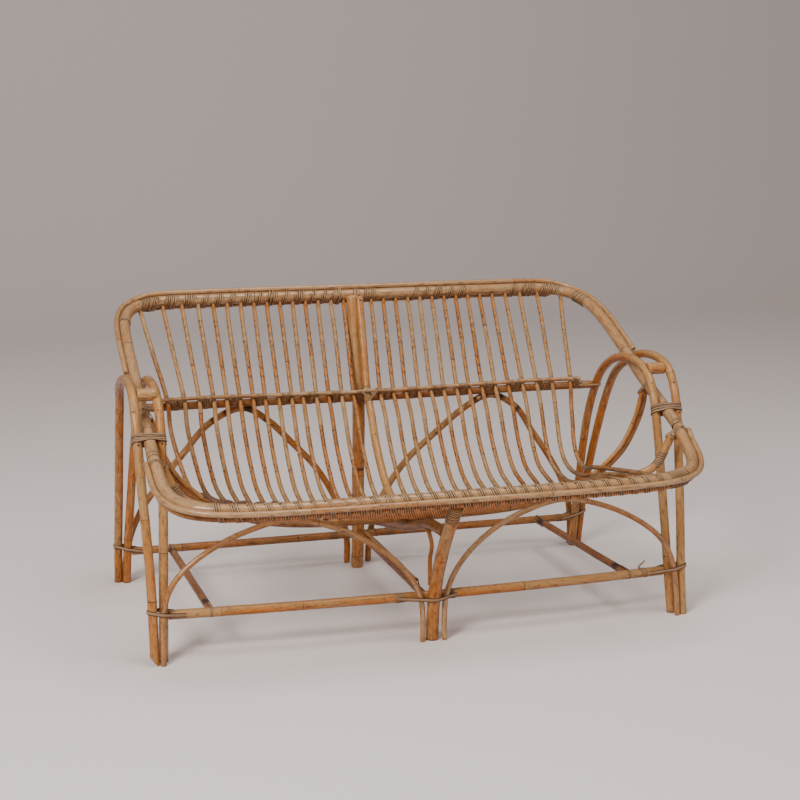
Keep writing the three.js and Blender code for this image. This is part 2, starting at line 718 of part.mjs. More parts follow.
const backArchInsideShares = [
  [0.41, 0.345, 0.918],
  [0.3, 0.378, 0.767],
  [0.2, 0.408, 0.617],
  [0.125, 0.428, 0.459],
  [0.07, 0.44, 0.285],
  [0.048, 0.447, 0.134],
  [0.046, 0.455, 0],
];
function archLine(outsideShares, peak, insideShares) {
  const placed = ([across, back, up]) => {
    return new THREE.Vector3(across * HALF_SPREAD, back * FRAME_DEPTH, up * peak.z);
  };
  return [...outsideShares.map(placed), peak, ...insideShares.map(placed)];
}
const frontPeak = frontBearerAt(ARCH_PEAK_ACROSS);
frontPeak.z -= half(BEARER_DIAMETER) + half(FRONT_ARCH_DIAMETER) + SEAT_GAP;
const railOverArch = reach(midRail, 'x', ARCH_PEAK_ACROSS).point;
const underRail = half(MID_RAIL_DIAMETER) + half(BACK_ARCH_DIAMETER) + SEAT_GAP;
const underRailShares = [0, 0.6, -0.8];
const backPeak = railOverArch.clone().addScaledVector(new THREE.Vector3(...underRailShares), underRail);
const frontArch = archLine(frontArchOutsideShares, frontPeak, frontArchInsideShares);
const backArch = archLine(backArchOutsideShares, backPeak, backArchInsideShares);
for (const [side, flip] of [['left', mirrored], ['right', (point) => point.clone()]]) {
  const front = pole(frontArch.map(flip), FRONT_ARCH_DIAMETER, CANE_SIDES, bothFeet, FLAT_FIRST);
  add(`front_arch_${side}`, front, HONEY);
  add(`back_arch_${side}`, pole(backArch.map(flip), BACK_ARCH_DIAMETER, HOOP_SIDES, bothFeet), TOFFEE);
}

// Windings of split cane: one unbroken strand each, measured for the least gap to itself.
const BIND_SIDES = 5;
const BIND_STEPS = 12;
const BETWEEN_STEPS = 6;
function leastGap(strand, diameter, perLoop) {
  const points = [];
  for (let i = 0; i + 1 < strand.length; i += 1) {
    for (let k = 0; k < BETWEEN_STEPS; k += 1) {
      points.push(strand[i].clone().lerp(strand[i + 1], k / BETWEEN_STEPS));
    }
  }
  let least = Infinity;
  for (let i = 0; i < points.length; i += 1) {
    for (let j = i + half(perLoop) * BETWEEN_STEPS; j < points.length; j += 1) {
      least = Math.min(least, points[i].distanceTo(points[j]) - diameter);
    }
  }
  return least;
}

function addWinding(name, strand, diameter, perLoop) {
  console.log(`${name}: least gap to itself ${leastGap(strand, diameter, perLoop).toFixed(2)} mm`);
  add(name, pole(strand, diameter, BIND_SIDES), PEEL);
}

// Binding round the top of the centre leg.
const bindRadius = half(LEG_DIAMETER) + half(BIND_CANE_DIAMETER) + SEAT_GAP;
const bindSide = ACROSS.clone();
const bindFront = new THREE.Vector3().crossVectors(legRun, bindSide);
const legBinding = [];
for (let i = 0; i <= LEG_BINDING_LOOPS * BIND_STEPS; i += 1) {
  const angle = (2 * Math.PI * i) / BIND_STEPS;
  const down = BINDING_PITCH * (i / BIND_STEPS + START_LOOPS);
  const spot = legTop.clone().addScaledVector(legRun, -down);
  spot.addScaledVector(bindSide, Math.cos(angle) * bindRadius / Math.cos(Math.PI / BIND_STEPS));
  spot.addScaledVector(bindFront, Math.sin(angle) * bindRadius / Math.cos(Math.PI / BIND_STEPS));
  legBinding.push(spot);
}
addWinding('leg_top_winding', legBinding, BIND_CANE_DIAMETER, BIND_STEPS);

// Arm lashes: round both poles of the arm, over the rim in front and under it behind.
const lashCentre = reach(upperRim, 'y', reach(outerHoop, 'z', lashHeight).point.y).point;
const lashOffset = half(HOOP_DIAMETER) + half(LASH_CANE_DIAMETER) + LOOP_GAP;
const lashRadius = lashOffset / Math.cos(Math.PI / BIND_STEPS);
const LASH_TILT_SHARE = 0.86;
const lashTilt = LASH_PITCH + half(RIM_DIAMETER) * LASH_TILT_SHARE;
const lash = [];
const STRAIGHTS = 2;
const lashSteps = BIND_STEPS + STRAIGHTS;
for (let i = 0; i < ARM_LASH_LOOPS * lashSteps; i += 1) {
  const inLoop = i % lashSteps;
  const onOuter = inLoop < half(lashSteps);
  const turned = onOuter ? inLoop : inLoop - 1;
  const angle = (2 * Math.PI * turned) / BIND_STEPS - half(Math.PI);
  const loops = i / lashSteps - half(ARM_LASH_LOOPS);
  const height = lashCentre.z + LASH_PITCH * loops - lashTilt * Math.sin(angle);
  const around = reach(onOuter ? outerHoop : innerHoop, 'z', height).point;
  around.x += Math.cos(angle) * lashRadius;
  around.y += Math.sin(angle) * lashRadius;
  lash.push(around);
}
for (const [side, flip] of [['left', mirrored], ['right', (point) => point.clone()]]) {
  addWinding(`arm_lash_${side}`, lash.map(flip), LASH_CANE_DIAMETER, lashSteps);
}

// The frame's origin is the middle of the footprint, on the floor.
const bounds = new THREE.Box3().setFromObject(sofa);
const middleOfAll = bounds.getCenter(new THREE.Vector3());
for (const mesh of sofa.children) {
  mesh.geometry.translate(-middleOfAll.x, -middleOfAll.y, -bounds.min.z);
}

export default sofa;
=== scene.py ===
"""Rattan garden sofa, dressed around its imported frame.

Every pole is swept again, round and with its growth rings, along the centre line of the frame's own
node. Split-cane bindings, straps, nails and three thin canes are then laid on those poles.
"""
import logging
import math
from dataclasses import dataclass, field
from enum import Enum

import bmesh
import bpy
import numpy as np
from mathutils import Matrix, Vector


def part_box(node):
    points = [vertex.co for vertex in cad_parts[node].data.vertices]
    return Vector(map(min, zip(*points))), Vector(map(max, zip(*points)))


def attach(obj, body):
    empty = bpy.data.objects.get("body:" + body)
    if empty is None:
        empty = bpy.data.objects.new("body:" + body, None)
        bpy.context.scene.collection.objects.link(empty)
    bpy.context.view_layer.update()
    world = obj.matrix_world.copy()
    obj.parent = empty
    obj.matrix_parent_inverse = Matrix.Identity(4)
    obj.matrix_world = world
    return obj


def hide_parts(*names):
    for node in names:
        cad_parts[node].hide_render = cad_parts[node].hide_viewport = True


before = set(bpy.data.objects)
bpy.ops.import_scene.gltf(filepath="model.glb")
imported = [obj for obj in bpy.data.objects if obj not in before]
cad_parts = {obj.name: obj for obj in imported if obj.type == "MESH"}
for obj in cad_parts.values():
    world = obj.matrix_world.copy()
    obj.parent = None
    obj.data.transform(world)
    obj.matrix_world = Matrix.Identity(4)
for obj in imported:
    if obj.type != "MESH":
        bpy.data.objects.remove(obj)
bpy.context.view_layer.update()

LOG = logging.getLogger("rattan_sofa")
MM = 0.001
UP = np.array([0.0, 0.0, 1.0])
ACROSS = np.array([1.0, 0.0, 0.0])
FORWARD = np.array([0.0, -1.0, 0.0])
SIDES = (("left", -1), ("right", 1))
SLATS_PER_SIDE = 15
SLAT_NAMES = [f"slat_{side}_{i:02d}" for side, _ in SIDES for i in range(1, SLATS_PER_SIDE + 1)]

Triple = tuple[float, float, float]
Colour = Triple

WELD = 0.02 * MM  # corners nearer than this are one
FLOOR_REACH = 4 * MM  # ends lower than this stand on the floor
STRAND_GAP = 0.05  # keeps the patterns of neighbouring strands apart
PEEL_SIDES = 8

# How finely a pattern runs across the cane (twice) and along it, in waves per metre
FIBRE_SCALE = (1100.0, 1100.0, 14.0)
MOTTLE_SCALE = (70.0, 70.0, 12.0)
STAIN_SCALE = (140.0, 140.0, 40.0)
SPECK_SCALE = (300.0, 300.0, 105.0)
GRAIN_SCALE = (2600.0, 2600.0, 40.0)
PATCH_SCALE = (120.0, 120.0, 60.0)
RUST_SCALE = (900.0, 900.0, 900.0)


def unit(vector: np.ndarray) -> np.ndarray:
    """The vector at length one."""
    return vector / max(float(np.linalg.norm(vector)), 1e-12)


def linear(red: int, green: int, blue: int) -> Colour:
    """Turns a screen colour (0 to 255) into the scene's linear colour."""
    return tuple(((c / 255 + 0.055) / 1.055) ** 2.4 if c > 10 else c / 3294.6 for c in (red, green, blue))


# ---- Node trees


class NodeBuilder:
    """A node tree with short calls for adding nodes."""

    def __init__(self, tree: bpy.types.NodeTree) -> None:
        """Takes the tree that the nodes go into."""
        self.tree = tree

    def wire(self, node: bpy.types.Node, inputs: dict[str | int, object]) -> None:
        """Links inputs from sockets or sets them to values.

        Args:
            node: the node.
            inputs: a socket or a value for each input, by its name or number.
        """
        for key, value in inputs.items():
            if isinstance(value, bpy.types.NodeSocket):
                self.tree.links.new(value, node.inputs[key])
            else:
                node.inputs[key].default_value = value

    def add(self, kind: str, inputs: dict[str | int, object],
            **options: str | bool) -> bpy.types.bpy_prop_collection:
        """Adds a node.

        Args:
            kind: the node's type.
            inputs: a socket or a value for each input, by its name or number.
            options: the node's own settings.

        Returns:
            The node's outputs.
        """
        node = self.tree.nodes.new(kind)
        for name, value in options.items():
            setattr(node, name, value)
        self.wire(node, inputs)
        return node.outputs

    def math(self, operation: str, *operands: bpy.types.NodeSocket | float) -> bpy.types.NodeSocket:
        """One arithmetic step on sockets and numbers."""
        return self.add("ShaderNodeMath", dict(enumerate(operands)), operation=operation)[0]


class ShaderGraph(NodeBuilder):
    """A material's node tree, with the steps that the finishes use."""

    def __init__(self, name: str) -> None:
        """Makes an empty material with its output and its Principled shader."""
        self.material = bpy.data.materials.new(name)
        self.material.use_nodes = True
        super().__init__(self.material.node_tree)
        self.tree.nodes.clear()
        self.shader = self.tree.nodes.new("ShaderNodeBsdfPrincipled")
        self.add("ShaderNodeOutputMaterial", {"Surface": self.shader.outputs["BSDF"]})

    def attribute(self, name: str, output: str = "Fac") -> bpy.types.NodeSocket:
        """A named attribute of the surface."""
        return self.add("ShaderNodeAttribute", {}, attribute_name=name)[output]

    def noise(self, vector: bpy.types.NodeSocket, scale: Triple, detail: float,
              roughness: float) -> bpy.types.NodeSocket:
        """Noise on coordinates that are first scaled by three numbers."""
        scaled = self.add("ShaderNodeMapping", {"Vector": vector, "Scale": scale})["Vector"]
        return self.add("ShaderNodeTexNoise", {"Vector": scaled, "Scale": 1.0, "Detail": detail,
                                               "Roughness": roughness})["Fac"]

    def spread(self, source: bpy.types.NodeSocket, low: float, high: float, to_low: float = 0.0,
               to_high: float = 1.0) -> bpy.types.NodeSocket:
        """Maps a range of values onto another, held at its ends."""
        return self.add("ShaderNodeMapRange", {"Value": source, "From Min": low, "From Max": high,
                                               "To Min": to_low, "To Max": to_high}, clamp=True)["Result"]

    def blend(self, factor: bpy.types.NodeSocket, first: bpy.types.NodeSocket | Colour,
              second: bpy.types.NodeSocket | Colour) -> bpy.types.NodeSocket:
        """Mixes two colours by a factor."""
        first, second = ((*value, 1.0) if isinstance(value, tuple) else value for value in (first, second))
        return self.add("ShaderNodeMix", {0: factor, 6: first, 7: second}, data_type="RGBA")[2]

    def facing_up(self) -> bpy.types.NodeSocket:
        """How far the surface looks up, from -1 to 1."""
        normal = self.add("ShaderNodeNewGeometry", {})["Normal"]
        return self.add("ShaderNodeSeparateXYZ", {0: normal})["Z"]

    def grazing(self) -> bpy.types.NodeSocket:
        """How flatly the surface is seen, from 0 to 1."""
        return self.add("ShaderNodeLayerWeight", {"Blend": 0.5})["Facing"]

    def bump(self, height: bpy.types.NodeSocket, strength: float, distance: float) -> None:
        """Roughens the shader's normal by a height."""
        bumped = self.add("ShaderNodeBump", {"Strength": strength, "Distance": distance, "Height": height})
        self.wire(self.shader, {"Normal": bumped["Normal"]})


class PieceTree(NodeBuilder):
    """A Geometry Nodes tree that turns plain points or lines into one finished piece."""

    def __init__(self, name: str, settings: dict[str, str]) -> None:
        """Opens the tree.

        Args:
            name: the tree's name.
            settings: the inputs beside geometry and finish, each with its type of socket.
        """
        super().__init__(bpy.data.node_groups.new(name, "GeometryNodeTree"))
        face = self.tree.interface
        face.new_socket("Geometry", in_out="INPUT", socket_type="NodeSocketGeometry")
        self.sockets = {label: face.new_socket(label, in_out="INPUT", socket_type=kind).identifier
                        for label, kind in {**settings, "Finish": "NodeSocketMaterial"}.items()}
        face.new_socket("Geometry", in_out="OUTPUT", socket_type="NodeSocketGeometry")
        self.given = self.add("NodeGroupInput", {})

    def read(self, name: str, kind: str = "FLOAT") -> bpy.types.NodeSocket:
        """The value of a named attribute."""
        return self.add("GeometryNodeInputNamedAttribute", {"Name": name}, data_type=kind)["Attribute"]

    def store(self, geometry: bpy.types.NodeSocket, name: str, kind: str,
              value: bpy.types.NodeSocket) -> bpy.types.NodeSocket:
        """Keeps a value on the points under a name, and passes the geometry on."""
        inputs = {"Geometry": geometry, "Name": name, "Value": value}
        return self.add("GeometryNodeStoreNamedAttribute", inputs, data_type=kind,
                        domain="POINT")["Geometry"]

    def close(self, geometry: bpy.types.NodeSocket) -> None:
        """Smooths the geometry, makes it real, dresses it and hands it out."""
        smooth = self.add("GeometryNodeSetShadeSmooth", {"Geometry": geometry})["Geometry"]
        real = self.add("GeometryNodeRealizeInstances", {"Geometry": smooth})["Geometry"]
        dressed = self.add("GeometryNodeSetMaterial", {"Geometry": real, "Material": self.given["Finish"]})
        self.add("NodeGroupOutput", {"Geometry": dressed["Geometry"]})

    def run(self, name: str, mesh: bpy.types.Mesh, finish: "Finish",
            settings: dict[str, float]) -> bpy.types.Object:
        """Runs the tree on a mesh and keeps the result as a plain mesh.

        Args:
            name: the piece's name.
            mesh: points or lines with the attributes that the tree reads.
            finish: the piece's finish.
            settings: a value for each of the tree's own inputs.

        Returns:
            The piece.
        """
        piece = bpy.data.objects.new(name, mesh)
        bpy.context.scene.collection.objects.link(piece)
        modifier = piece.modifiers.new(self.tree.name, "NODES")
        modifier.node_group = self.tree
        for label, value in {**settings, "Finish": finish.material()}.items():
            modifier[self.sockets[label]] = value
        graph = bpy.context.evaluated_depsgraph_get()
        result = bpy.data.meshes.new_from_object(piece.evaluated_get(graph), depsgraph=graph,
                                                 preserve_all_data_layers=True)
        piece.modifiers.clear()
        piece.data = result
        result.name = name
        bpy.data.meshes.remove(mesh)
        return piece


# ---- Finishes


@dataclass(frozen=True)
class PoleFinish:
    """Varnished round rattan: lengthwise fibres, changing tone between rings, dark rings and specks,
    painted light and wear on upward faces, painted shade underneath and towards the outline.
    """

    name: str
    slot: str
    pale: Colour
    warm: Colour
    deep: Colour
    lit_top_bleach: float = 0.55
    gloss: float = 0.42
    coat: float = 0.16
    bark: float = 0.6
    shade: float = 0.34

    def material(self) -> bpy.types.Material:
        """Builds the finish."""
        graph = ShaderGraph(self.name)
        cane = graph.attribute("cane", "Vector")
        tone, knot = graph.attribute("tone"), graph.attribute("knot")
        fibre = graph.noise(cane, FIBRE_SCALE, 4.0, 0.62)
        mottle = graph.noise(cane, MOTTLE_SCALE, 4.0, 0.6)
        stain = graph.noise(cane, STAIN_SCALE, 5.0, 0.7)
        specks = graph.noise(cane, SPECK_SCALE, 3.0, 0.6)
        warmth = graph.math("ADD", graph.spread(mottle, 0.36, 0.64, -0.55, 0.55), tone)
        body = graph.blend(graph.spread(warmth, 0.0, 1.0), self.pale, self.warm)
        body = graph.blend(graph.spread(stain, 0.48, 0.66, 0.0, 0.8), body, self.deep)
        body = graph.blend(graph.spread(fibre, 0.38, 0.7, 0.0, 0.34), body, self.deep)
        facing_up = graph.facing_up()
        # painted light: upward faces are mixed towards the pale colour, broken up by mottle that stands for
        # real wear
        lit_and_worn_top = graph.math("MULTIPLY", graph.spread(facing_up, -0.35, 0.8),
                          graph.spread(mottle, 0.3, 0.62, 0.55, 1.0))
        body = graph.blend(graph.math("MULTIPLY", lit_and_worn_top, self.lit_top_bleach), body, self.pale)
        # painted shade: faces that look down are mixed towards the deep colour
        body = graph.blend(graph.spread(facing_up, -1.0, 0.1, self.shade, 0.0), body, self.deep)
        # painted shade: surfaces seen edge-on, towards the outline, are mixed towards the deep colour
        body = graph.blend(graph.spread(graph.grazing(), 0.4, 0.95, 0.0, self.shade), body, self.deep)
        bark = graph.math("MULTIPLY", graph.spread(specks, 0.53, 0.65),
                          graph.spread(tone, 0.2, 1.0, 0.45 * self.bark, self.bark))
        body = graph.blend(bark, body, self.deep)
        knot_dark_and_gap_shade = tuple(channel * 0.2 for channel in self.deep)
        body = graph.blend(graph.spread(knot, 0.12, 0.8, 0.0, 0.92), body, knot_dark_and_gap_shade)
        rough = graph.spread(stain, 0.35, 0.75, self.gloss - 0.06, self.gloss + 0.16)
        graph.wire(graph.shader, {"Base Color": body, "Roughness": rough, "Specular IOR Level": 0.26,
                                  "Coat Weight": self.coat, "Coat Roughness": 0.16})
        graph.bump(graph.math("ADD", fibre, graph.math("MULTIPLY", specks, -0.5)), 0.32, 0.4 * MM)
        return graph.material


@dataclass(frozen=True)
class PeelFinish:
    """Split-cane peel: pale and matt, with fine lengthwise grain, grubby patches, painted shade at the
    edges of each strip where the turns meet, painted light on upward faces and painted shade underneath.
    """

    name: str
    slot: str
    pale: Colour
    dark: Colour
    grime: Colour
    shade: Colour
    lit_top_bleach: float = 0.6
    edge: float = 0.5

    def material(self) -> bpy.types.Material:
        """Builds the finish."""
        graph = ShaderGraph(self.name)
        cane = graph.attribute("cane", "Vector")
        tone, edge = graph.attribute("tone"), graph.attribute("edge")
        grain = graph.noise(cane, GRAIN_SCALE, 3.0, 0.6)
        patch = graph.noise(cane, PATCH_SCALE, 4.0, 0.65)
        body = graph.blend(graph.spread(graph.math("ADD", patch, tone), 0.55, 1.35), self.pale, self.dark)
        facing_up = graph.facing_up()
        # painted light: upward faces are mixed towards the pale colour
        body = graph.blend(graph.spread(facing_up, -0.5, 0.9, 0.0, self.lit_top_bleach), body, self.pale)
        # painted shade: faces that look down take the shade colour
        body = graph.blend(graph.spread(facing_up, -1.0, 0.25, 1.0, 0.0), body, self.shade)
        body = graph.blend(graph.spread(grain, 0.4, 0.72, 0.0, 0.4), body, self.dark)
        body = graph.blend(graph.spread(patch, 0.58, 0.78, 0.0, 0.6), body, self.grime)
        # painted shade: the edges of each strip, where neighbouring turns meet, darken almost to black
        knot_dark_and_gap_shade = tuple(channel * 0.3 for channel in self.grime)
        body = graph.blend(graph.spread(edge, self.edge, self.edge + 0.3, 0.0, 0.97), body, knot_dark_and_gap_shade)
        graph.wire(graph.shader, {"Base Color": body, "Roughness": 0.55, "Specular IOR Level": 0.3})
        graph.bump(grain, 0.35, 0.2 * MM)
        return graph.material


@dataclass(frozen=True)
class IronFinish:
    """Blackened nail heads with some rust."""

    name: str
    slot: str
    iron: Colour
    rust: Colour

    def material(self) -> bpy.types.Material:
        """Builds the finish."""
        graph = ShaderGraph(self.name)
        place = graph.add("ShaderNodeTexCoord", {})["Object"]
        rust = graph.noise(place, RUST_SCALE, 3.0, 0.6)
        body = graph.blend(graph.spread(rust, 0.4, 0.65), self.iron, self.rust)
        graph.wire(graph.shader, {"Base Color": body, "Metallic": 0.6, "Roughness": 0.55})
        return graph.material


class Finish(Enum):
    """The sofa's finishes."""

    STRAW = PoleFinish("straw_rattan", "pale_pole", linear(192, 150, 104), linear(182, 112, 44),
                       linear(76, 36, 10), gloss=0.34, coat=0.6)
    HONEY = PoleFinish("honey_rattan", "honey_pole", linear(192, 146, 92), linear(196, 112, 20),
                       linear(76, 33, 6), lit_top_bleach=0.72, gloss=0.38, coat=0.22, bark=0.5)
    TOFFEE = PoleFinish("toffee_rattan", "dark_pole", linear(172, 118, 66), linear(162, 88, 24),
                        linear(58, 24, 6))
    SLAT = PoleFinish("slat_rattan", "slat_cane", linear(190, 148, 98), linear(180, 102, 26),
                      linear(54, 22, 6), lit_top_bleach=0.3, gloss=0.45, coat=0.05, bark=1.3, shade=0.8)
    PEEL = PeelFinish("split_cane_peel", "split_cane", linear(192, 154, 112), linear(146, 102, 60),
                      linear(60, 31, 13), linear(146, 92, 42), edge=0.36)
    STRAP = PeelFinish("strap_peel", "split_cane", linear(168, 134, 102), linear(116, 80, 50),
                       linear(56, 31, 15), linear(112, 70, 34), lit_top_bleach=0.35)
    UNDER = PeelFinish("shaded_peel", "split_cane", linear(204, 142, 92), linear(180, 112, 62),
                       linear(84, 40, 18), linear(196, 122, 70), lit_top_bleach=0.2)
    IRON = IronFinish("nail_iron", "dark_pole", linear(40, 33, 30), linear(74, 50, 38))

    def material(self) -> bpy.types.Material:
        """The finish's material, made at its first use."""
        return bpy.data.materials.get(self.value.name) or self.value.material()


# ---- Centre lines


def smoothed(points: np.ndarray) -> np.ndarray:
    """Runs a centripetal Catmull-Rom curve through the points.

    Args:
        points: the stations, one row each.

    Returns:
        The curve's samples, ends included.
    """
    per_span = 12
    before = 2 * points[0] - points[1]
    after = 2 * points[-1] - points[-2]
    hull = np.vstack([before, points, after])
    samples = [points[0]]
    for i in range(1, len(hull) - 2):
        p = hull[i - 1:i + 3]
        gaps = np.maximum(np.linalg.norm(np.diff(p, axis=0), axis=1), 1e-9) ** 0.5
        t = np.concatenate([[0.0], np.cumsum(gaps)])
        for k in range(1, per_span + 1):
            u = t[1] + (t[2] - t[1]) * k / per_span
            a = [p[j] * (t[j + 1] - u) / (t[j + 1] - t[j]) + p[j + 1] * (u - t[j]) / (t[j + 1] - t[j])
                 for j in range(3)]
            b = [a[j] * (t[j + 2] - u) / (t[j + 2] - t[j]) + a[j + 1] * (u - t[j]) / (t[j + 2] - t[j])
                 for j in range(2)]
            samples.append(b[0] * (t[2] - u) / (t[2] - t[1]) + b[1] * (u - t[1]) / (t[2] - t[1]))
    return np.array(samples)


@dataclass
class Axis:
    """The centre line of a pole, in metres, with the pole's radius."""

    points: np.ndarray
    radius: float

    def __post_init__(self) -> None:
        """Measures the line."""
        steps = np.linalg.norm(np.diff(self.points, axis=0), axis=1)
        self.run = np.concatenate([[0.0], np.cumsum(steps)])
        self.length = float(self.run[-1])

    def at(self, run: float | np.ndarray) -> np.ndarray:
        """The point, or points, at a distance along the line."""
        return np.stack([np.interp(run, self.run, self.points[:, k]) for k in range(3)], axis=-1)

    def along(self, run: float | np.ndarray) -> np.ndarray:
        """The direction, or directions, of the line at a distance along it."""
        reach = 3 * MM
        step = self.at(np.asarray(run) + reach) - self.at(np.asarray(run) - reach)
        return step / np.maximum(np.linalg.norm(step, axis=-1, keepdims=True), 1e-12)

    def nearest(self, point: np.ndarray) -> float:
        """The distance along the line of its place nearest to a point."""
        return float(self.run[np.argmin(np.linalg.norm(self.points - point, axis=1))])

    def where(self, axis: int, value: float, last: bool = False) -> float:
        """The distance along the line at which one coordinate reaches a value.

        Args:
            axis: 0, 1 or 2 for x, y or z.
            value: the coordinate looked for.
            last: takes the last such place instead of the first.

        Returns:
            The distance along the line, or the nearest end's.
        """
        off = self.points[:, axis] - value
        hits = np.nonzero(off[:-1] * off[1:] <= 0)[0]
        if len(hits) == 0:
            return float(self.run[np.argmin(np.abs(off))])
        i = hits[-1 if last else 0]
        share = off[i] / (off[i] - off[i + 1]) if off[i] != off[i + 1] else 0.0
        return float(self.run[i] + share * (self.run[i + 1] - self.run[i]))

    def rightward(self, run: float) -> int:
        """1 where the line runs to the right at a distance along it, or else -1."""
        return 1 if self.at(run + 10 * MM)[0] > self.at(run)[0] else -1

    def crossing(self, origin: np.ndarray, normal: np.ndarray) -> tuple[np.ndarray, np.ndarray]:
        """Finds where the line passes through a plane, as near to the plane's origin as it can.

        Args:
            origin: a point of the plane.
            normal: the plane's normal.

        Returns:
            The place and the line's direction there.
        """
        off = (self.points - origin) @ normal
        hits = np.nonzero(off[:-1] * off[1:] <= 0)[0]
        if len(hits) == 0:
            i = int(np.argmin(np.linalg.norm(self.points - origin, axis=1)))
            return self.points[i], self.along(float(self.run[i]))
        i = hits[np.argmin(np.linalg.norm(self.points[hits] - origin, axis=1))]
        share = off[i] / (off[i] - off[i + 1]) if off[i] != off[i + 1] else 0.0
        point = self.points[i] + share * (self.points[i + 1] - self.points[i])
        return point, unit(self.points[i + 1] - self.points[i])

    def beside(self, distance: float, side: np.ndarray, radius: float, start: float, end: float) -> "Axis":
        """A line beside this one, pushed off square to it.

        Args:
            distance: from centre line to centre line.
            side: the direction it is pushed to.
            radius: the radius of the new pole.
            start: where it starts along this line.
            end: where it ends along this line.

        Returns:
            The new line.
        """
        runs = self.run[(self.run >= start) & (self.run <= end)]
        along = self.along(runs)
        off = side - along * (along @ side)[:, None]
        off /= np.linalg.norm(off, axis=1, keepdims=True)
        return Axis(self.at(runs) + off * distance, radius)


class NodeReader:
    """Reads the centre line of a swept node from its rings of corners."""

    def __init__(self, node: str, sides: int) -> None:
        """Welds a copy of the node's corners and finds which corners are neighbours."""
        self.sides = sides
        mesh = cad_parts[node].data
        corners = np.array([vertex.co[:] for vertex in mesh.vertices])
        faces = np.array([polygon.vertices[:] for polygon in mesh.polygons])
        _, first, inverse = np.unique(np.round(corners / WELD).astype(np.int64), axis=0,
                                      return_index=True, return_inverse=True)
        self.corners = corners[first]
        self.faces = inverse.reshape(-1)[faces]
        self.near: list[set[int]] = [set() for _ in self.corners]
        for a, b, c in self.faces:
            self.near[a] |= {b, c}
            self.near[b] |= {a, c}
            self.near[c] |= {a, b}

    def caps(self) -> list[list[int]]:
        """Finds the pole's flat ends: level groups of faces with the pole's number of corners.

        Returns:
            The corners of each end.
        """
        level, roundness = 0.99999, 0.6
        a, b, c = (self.corners[self.faces[:, k]] for k in range(3))
        normals = np.cross(b - a, c - a)
        normals /= np.maximum(np.linalg.norm(normals, axis=1, keepdims=True), 1e-18)
        by_edge: dict[tuple[int, int], list[int]] = {}
        for i, face in enumerate(self.faces):
            for k in range(3):
                edge = tuple(sorted((int(face[k]), int(face[(k + 1) % 3]))))
                by_edge.setdefault(edge, []).append(i)
        group = [-1] * len(self.faces)
        found = []
        for seed in range(len(self.faces)):
            if group[seed] >= 0:
                continue
            members, queue = [], [seed]
            group[seed] = seed
            while queue:
                i = queue.pop()
                members.append(i)
                face = self.faces[i]
                for k in range(3):
                    edge = tuple(sorted((int(face[k]), int(face[(k + 1) % 3]))))
                    for j in by_edge[edge]:
                        if group[j] < 0 and normals[i] @ normals[j] > level:
                            group[j] = seed
                            queue.append(j)
            ring = sorted({int(v) for i in members for v in self.faces[i]})
            if len(ring) == self.sides and len(members) == self.sides - 2:
                spread = np.linalg.norm(self.corners[ring] - self.corners[ring].mean(0), axis=1)
                if spread.min() > roundness * spread.max():
                    found.append(ring)
        return found

    def rings_from(self, cap: list[int]) -> list[list[int]]:
        """Walks along the pole from one of its ends, as long as each ring of corners is whole.

        Args:
            cap: the corners of the end.

        Returns:
            The corners of each ring.
        """
        seen, layer, rings = set(cap), set(cap), []
        while len(layer) == self.sides:
            rings.append(sorted(layer))
            layer = {n for v in layer for n in self.near[v]} - seen
            seen |= layer
        return rings

    def axis(self) -> Axis:
        """Reads the node's centre line, and bridges a stretch that a joint spoils.

        Returns:
            The line, with the node's radius.
        """
        caps = self.caps()
        rings = self.rings_from(caps[0])
        if len(caps) > 1 and sorted(caps[1]) not in rings:
            rings += self.rings_from(caps[1])[::-1]
        centres = np.array([self.corners[ring].mean(0) for ring in rings])
        spreads = [np.median(np.linalg.norm(self.corners[ring] - self.corners[ring].mean(0), axis=1))
                   for ring in rings]
        return Axis(smoothed(centres), float(np.median(spreads)))

    def sliced(self, axis: int, cuts: int, inset: float) -> np.ndarray:
        """Middles of even slices across the node, for a pole whose ends are coped.

        Args:
            axis: the coordinate along which it is sliced.
            cuts: the number of slices.
            inset: how far the first and last slice stay from the ends.

        Returns:
            The middles, one row each.
        """
        low, high = self.corners[:, axis].min() + inset, self.corners[:, axis].max() - inset
        middles = []
        for level in np.linspace(low, high, cuts):
            hits = []
            for i, near in enumerate(self.near):
                for j in near:
                    a, b = self.corners[i], self.corners[j]
                    if i < j and (a[axis] - level) * (b[axis] - level) < 0:
                        hits.append(a + (b - a) * (level - a[axis]) / (b[axis] - a[axis]))
            box = np.array(hits)
            middles.append((box.min(0) + box.max(0)) / 2)
        return np.array(middles)


# ---- Sweeps


@dataclass
class Strand:
    """One piece of cane ready to be swept: its points, and the thickness, ring, tone and face of each."""

    points: np.ndarray
    thick: np.ndarray
    knot: np.ndarray
    tone: np.ndarray
    face: np.ndarray | None = None


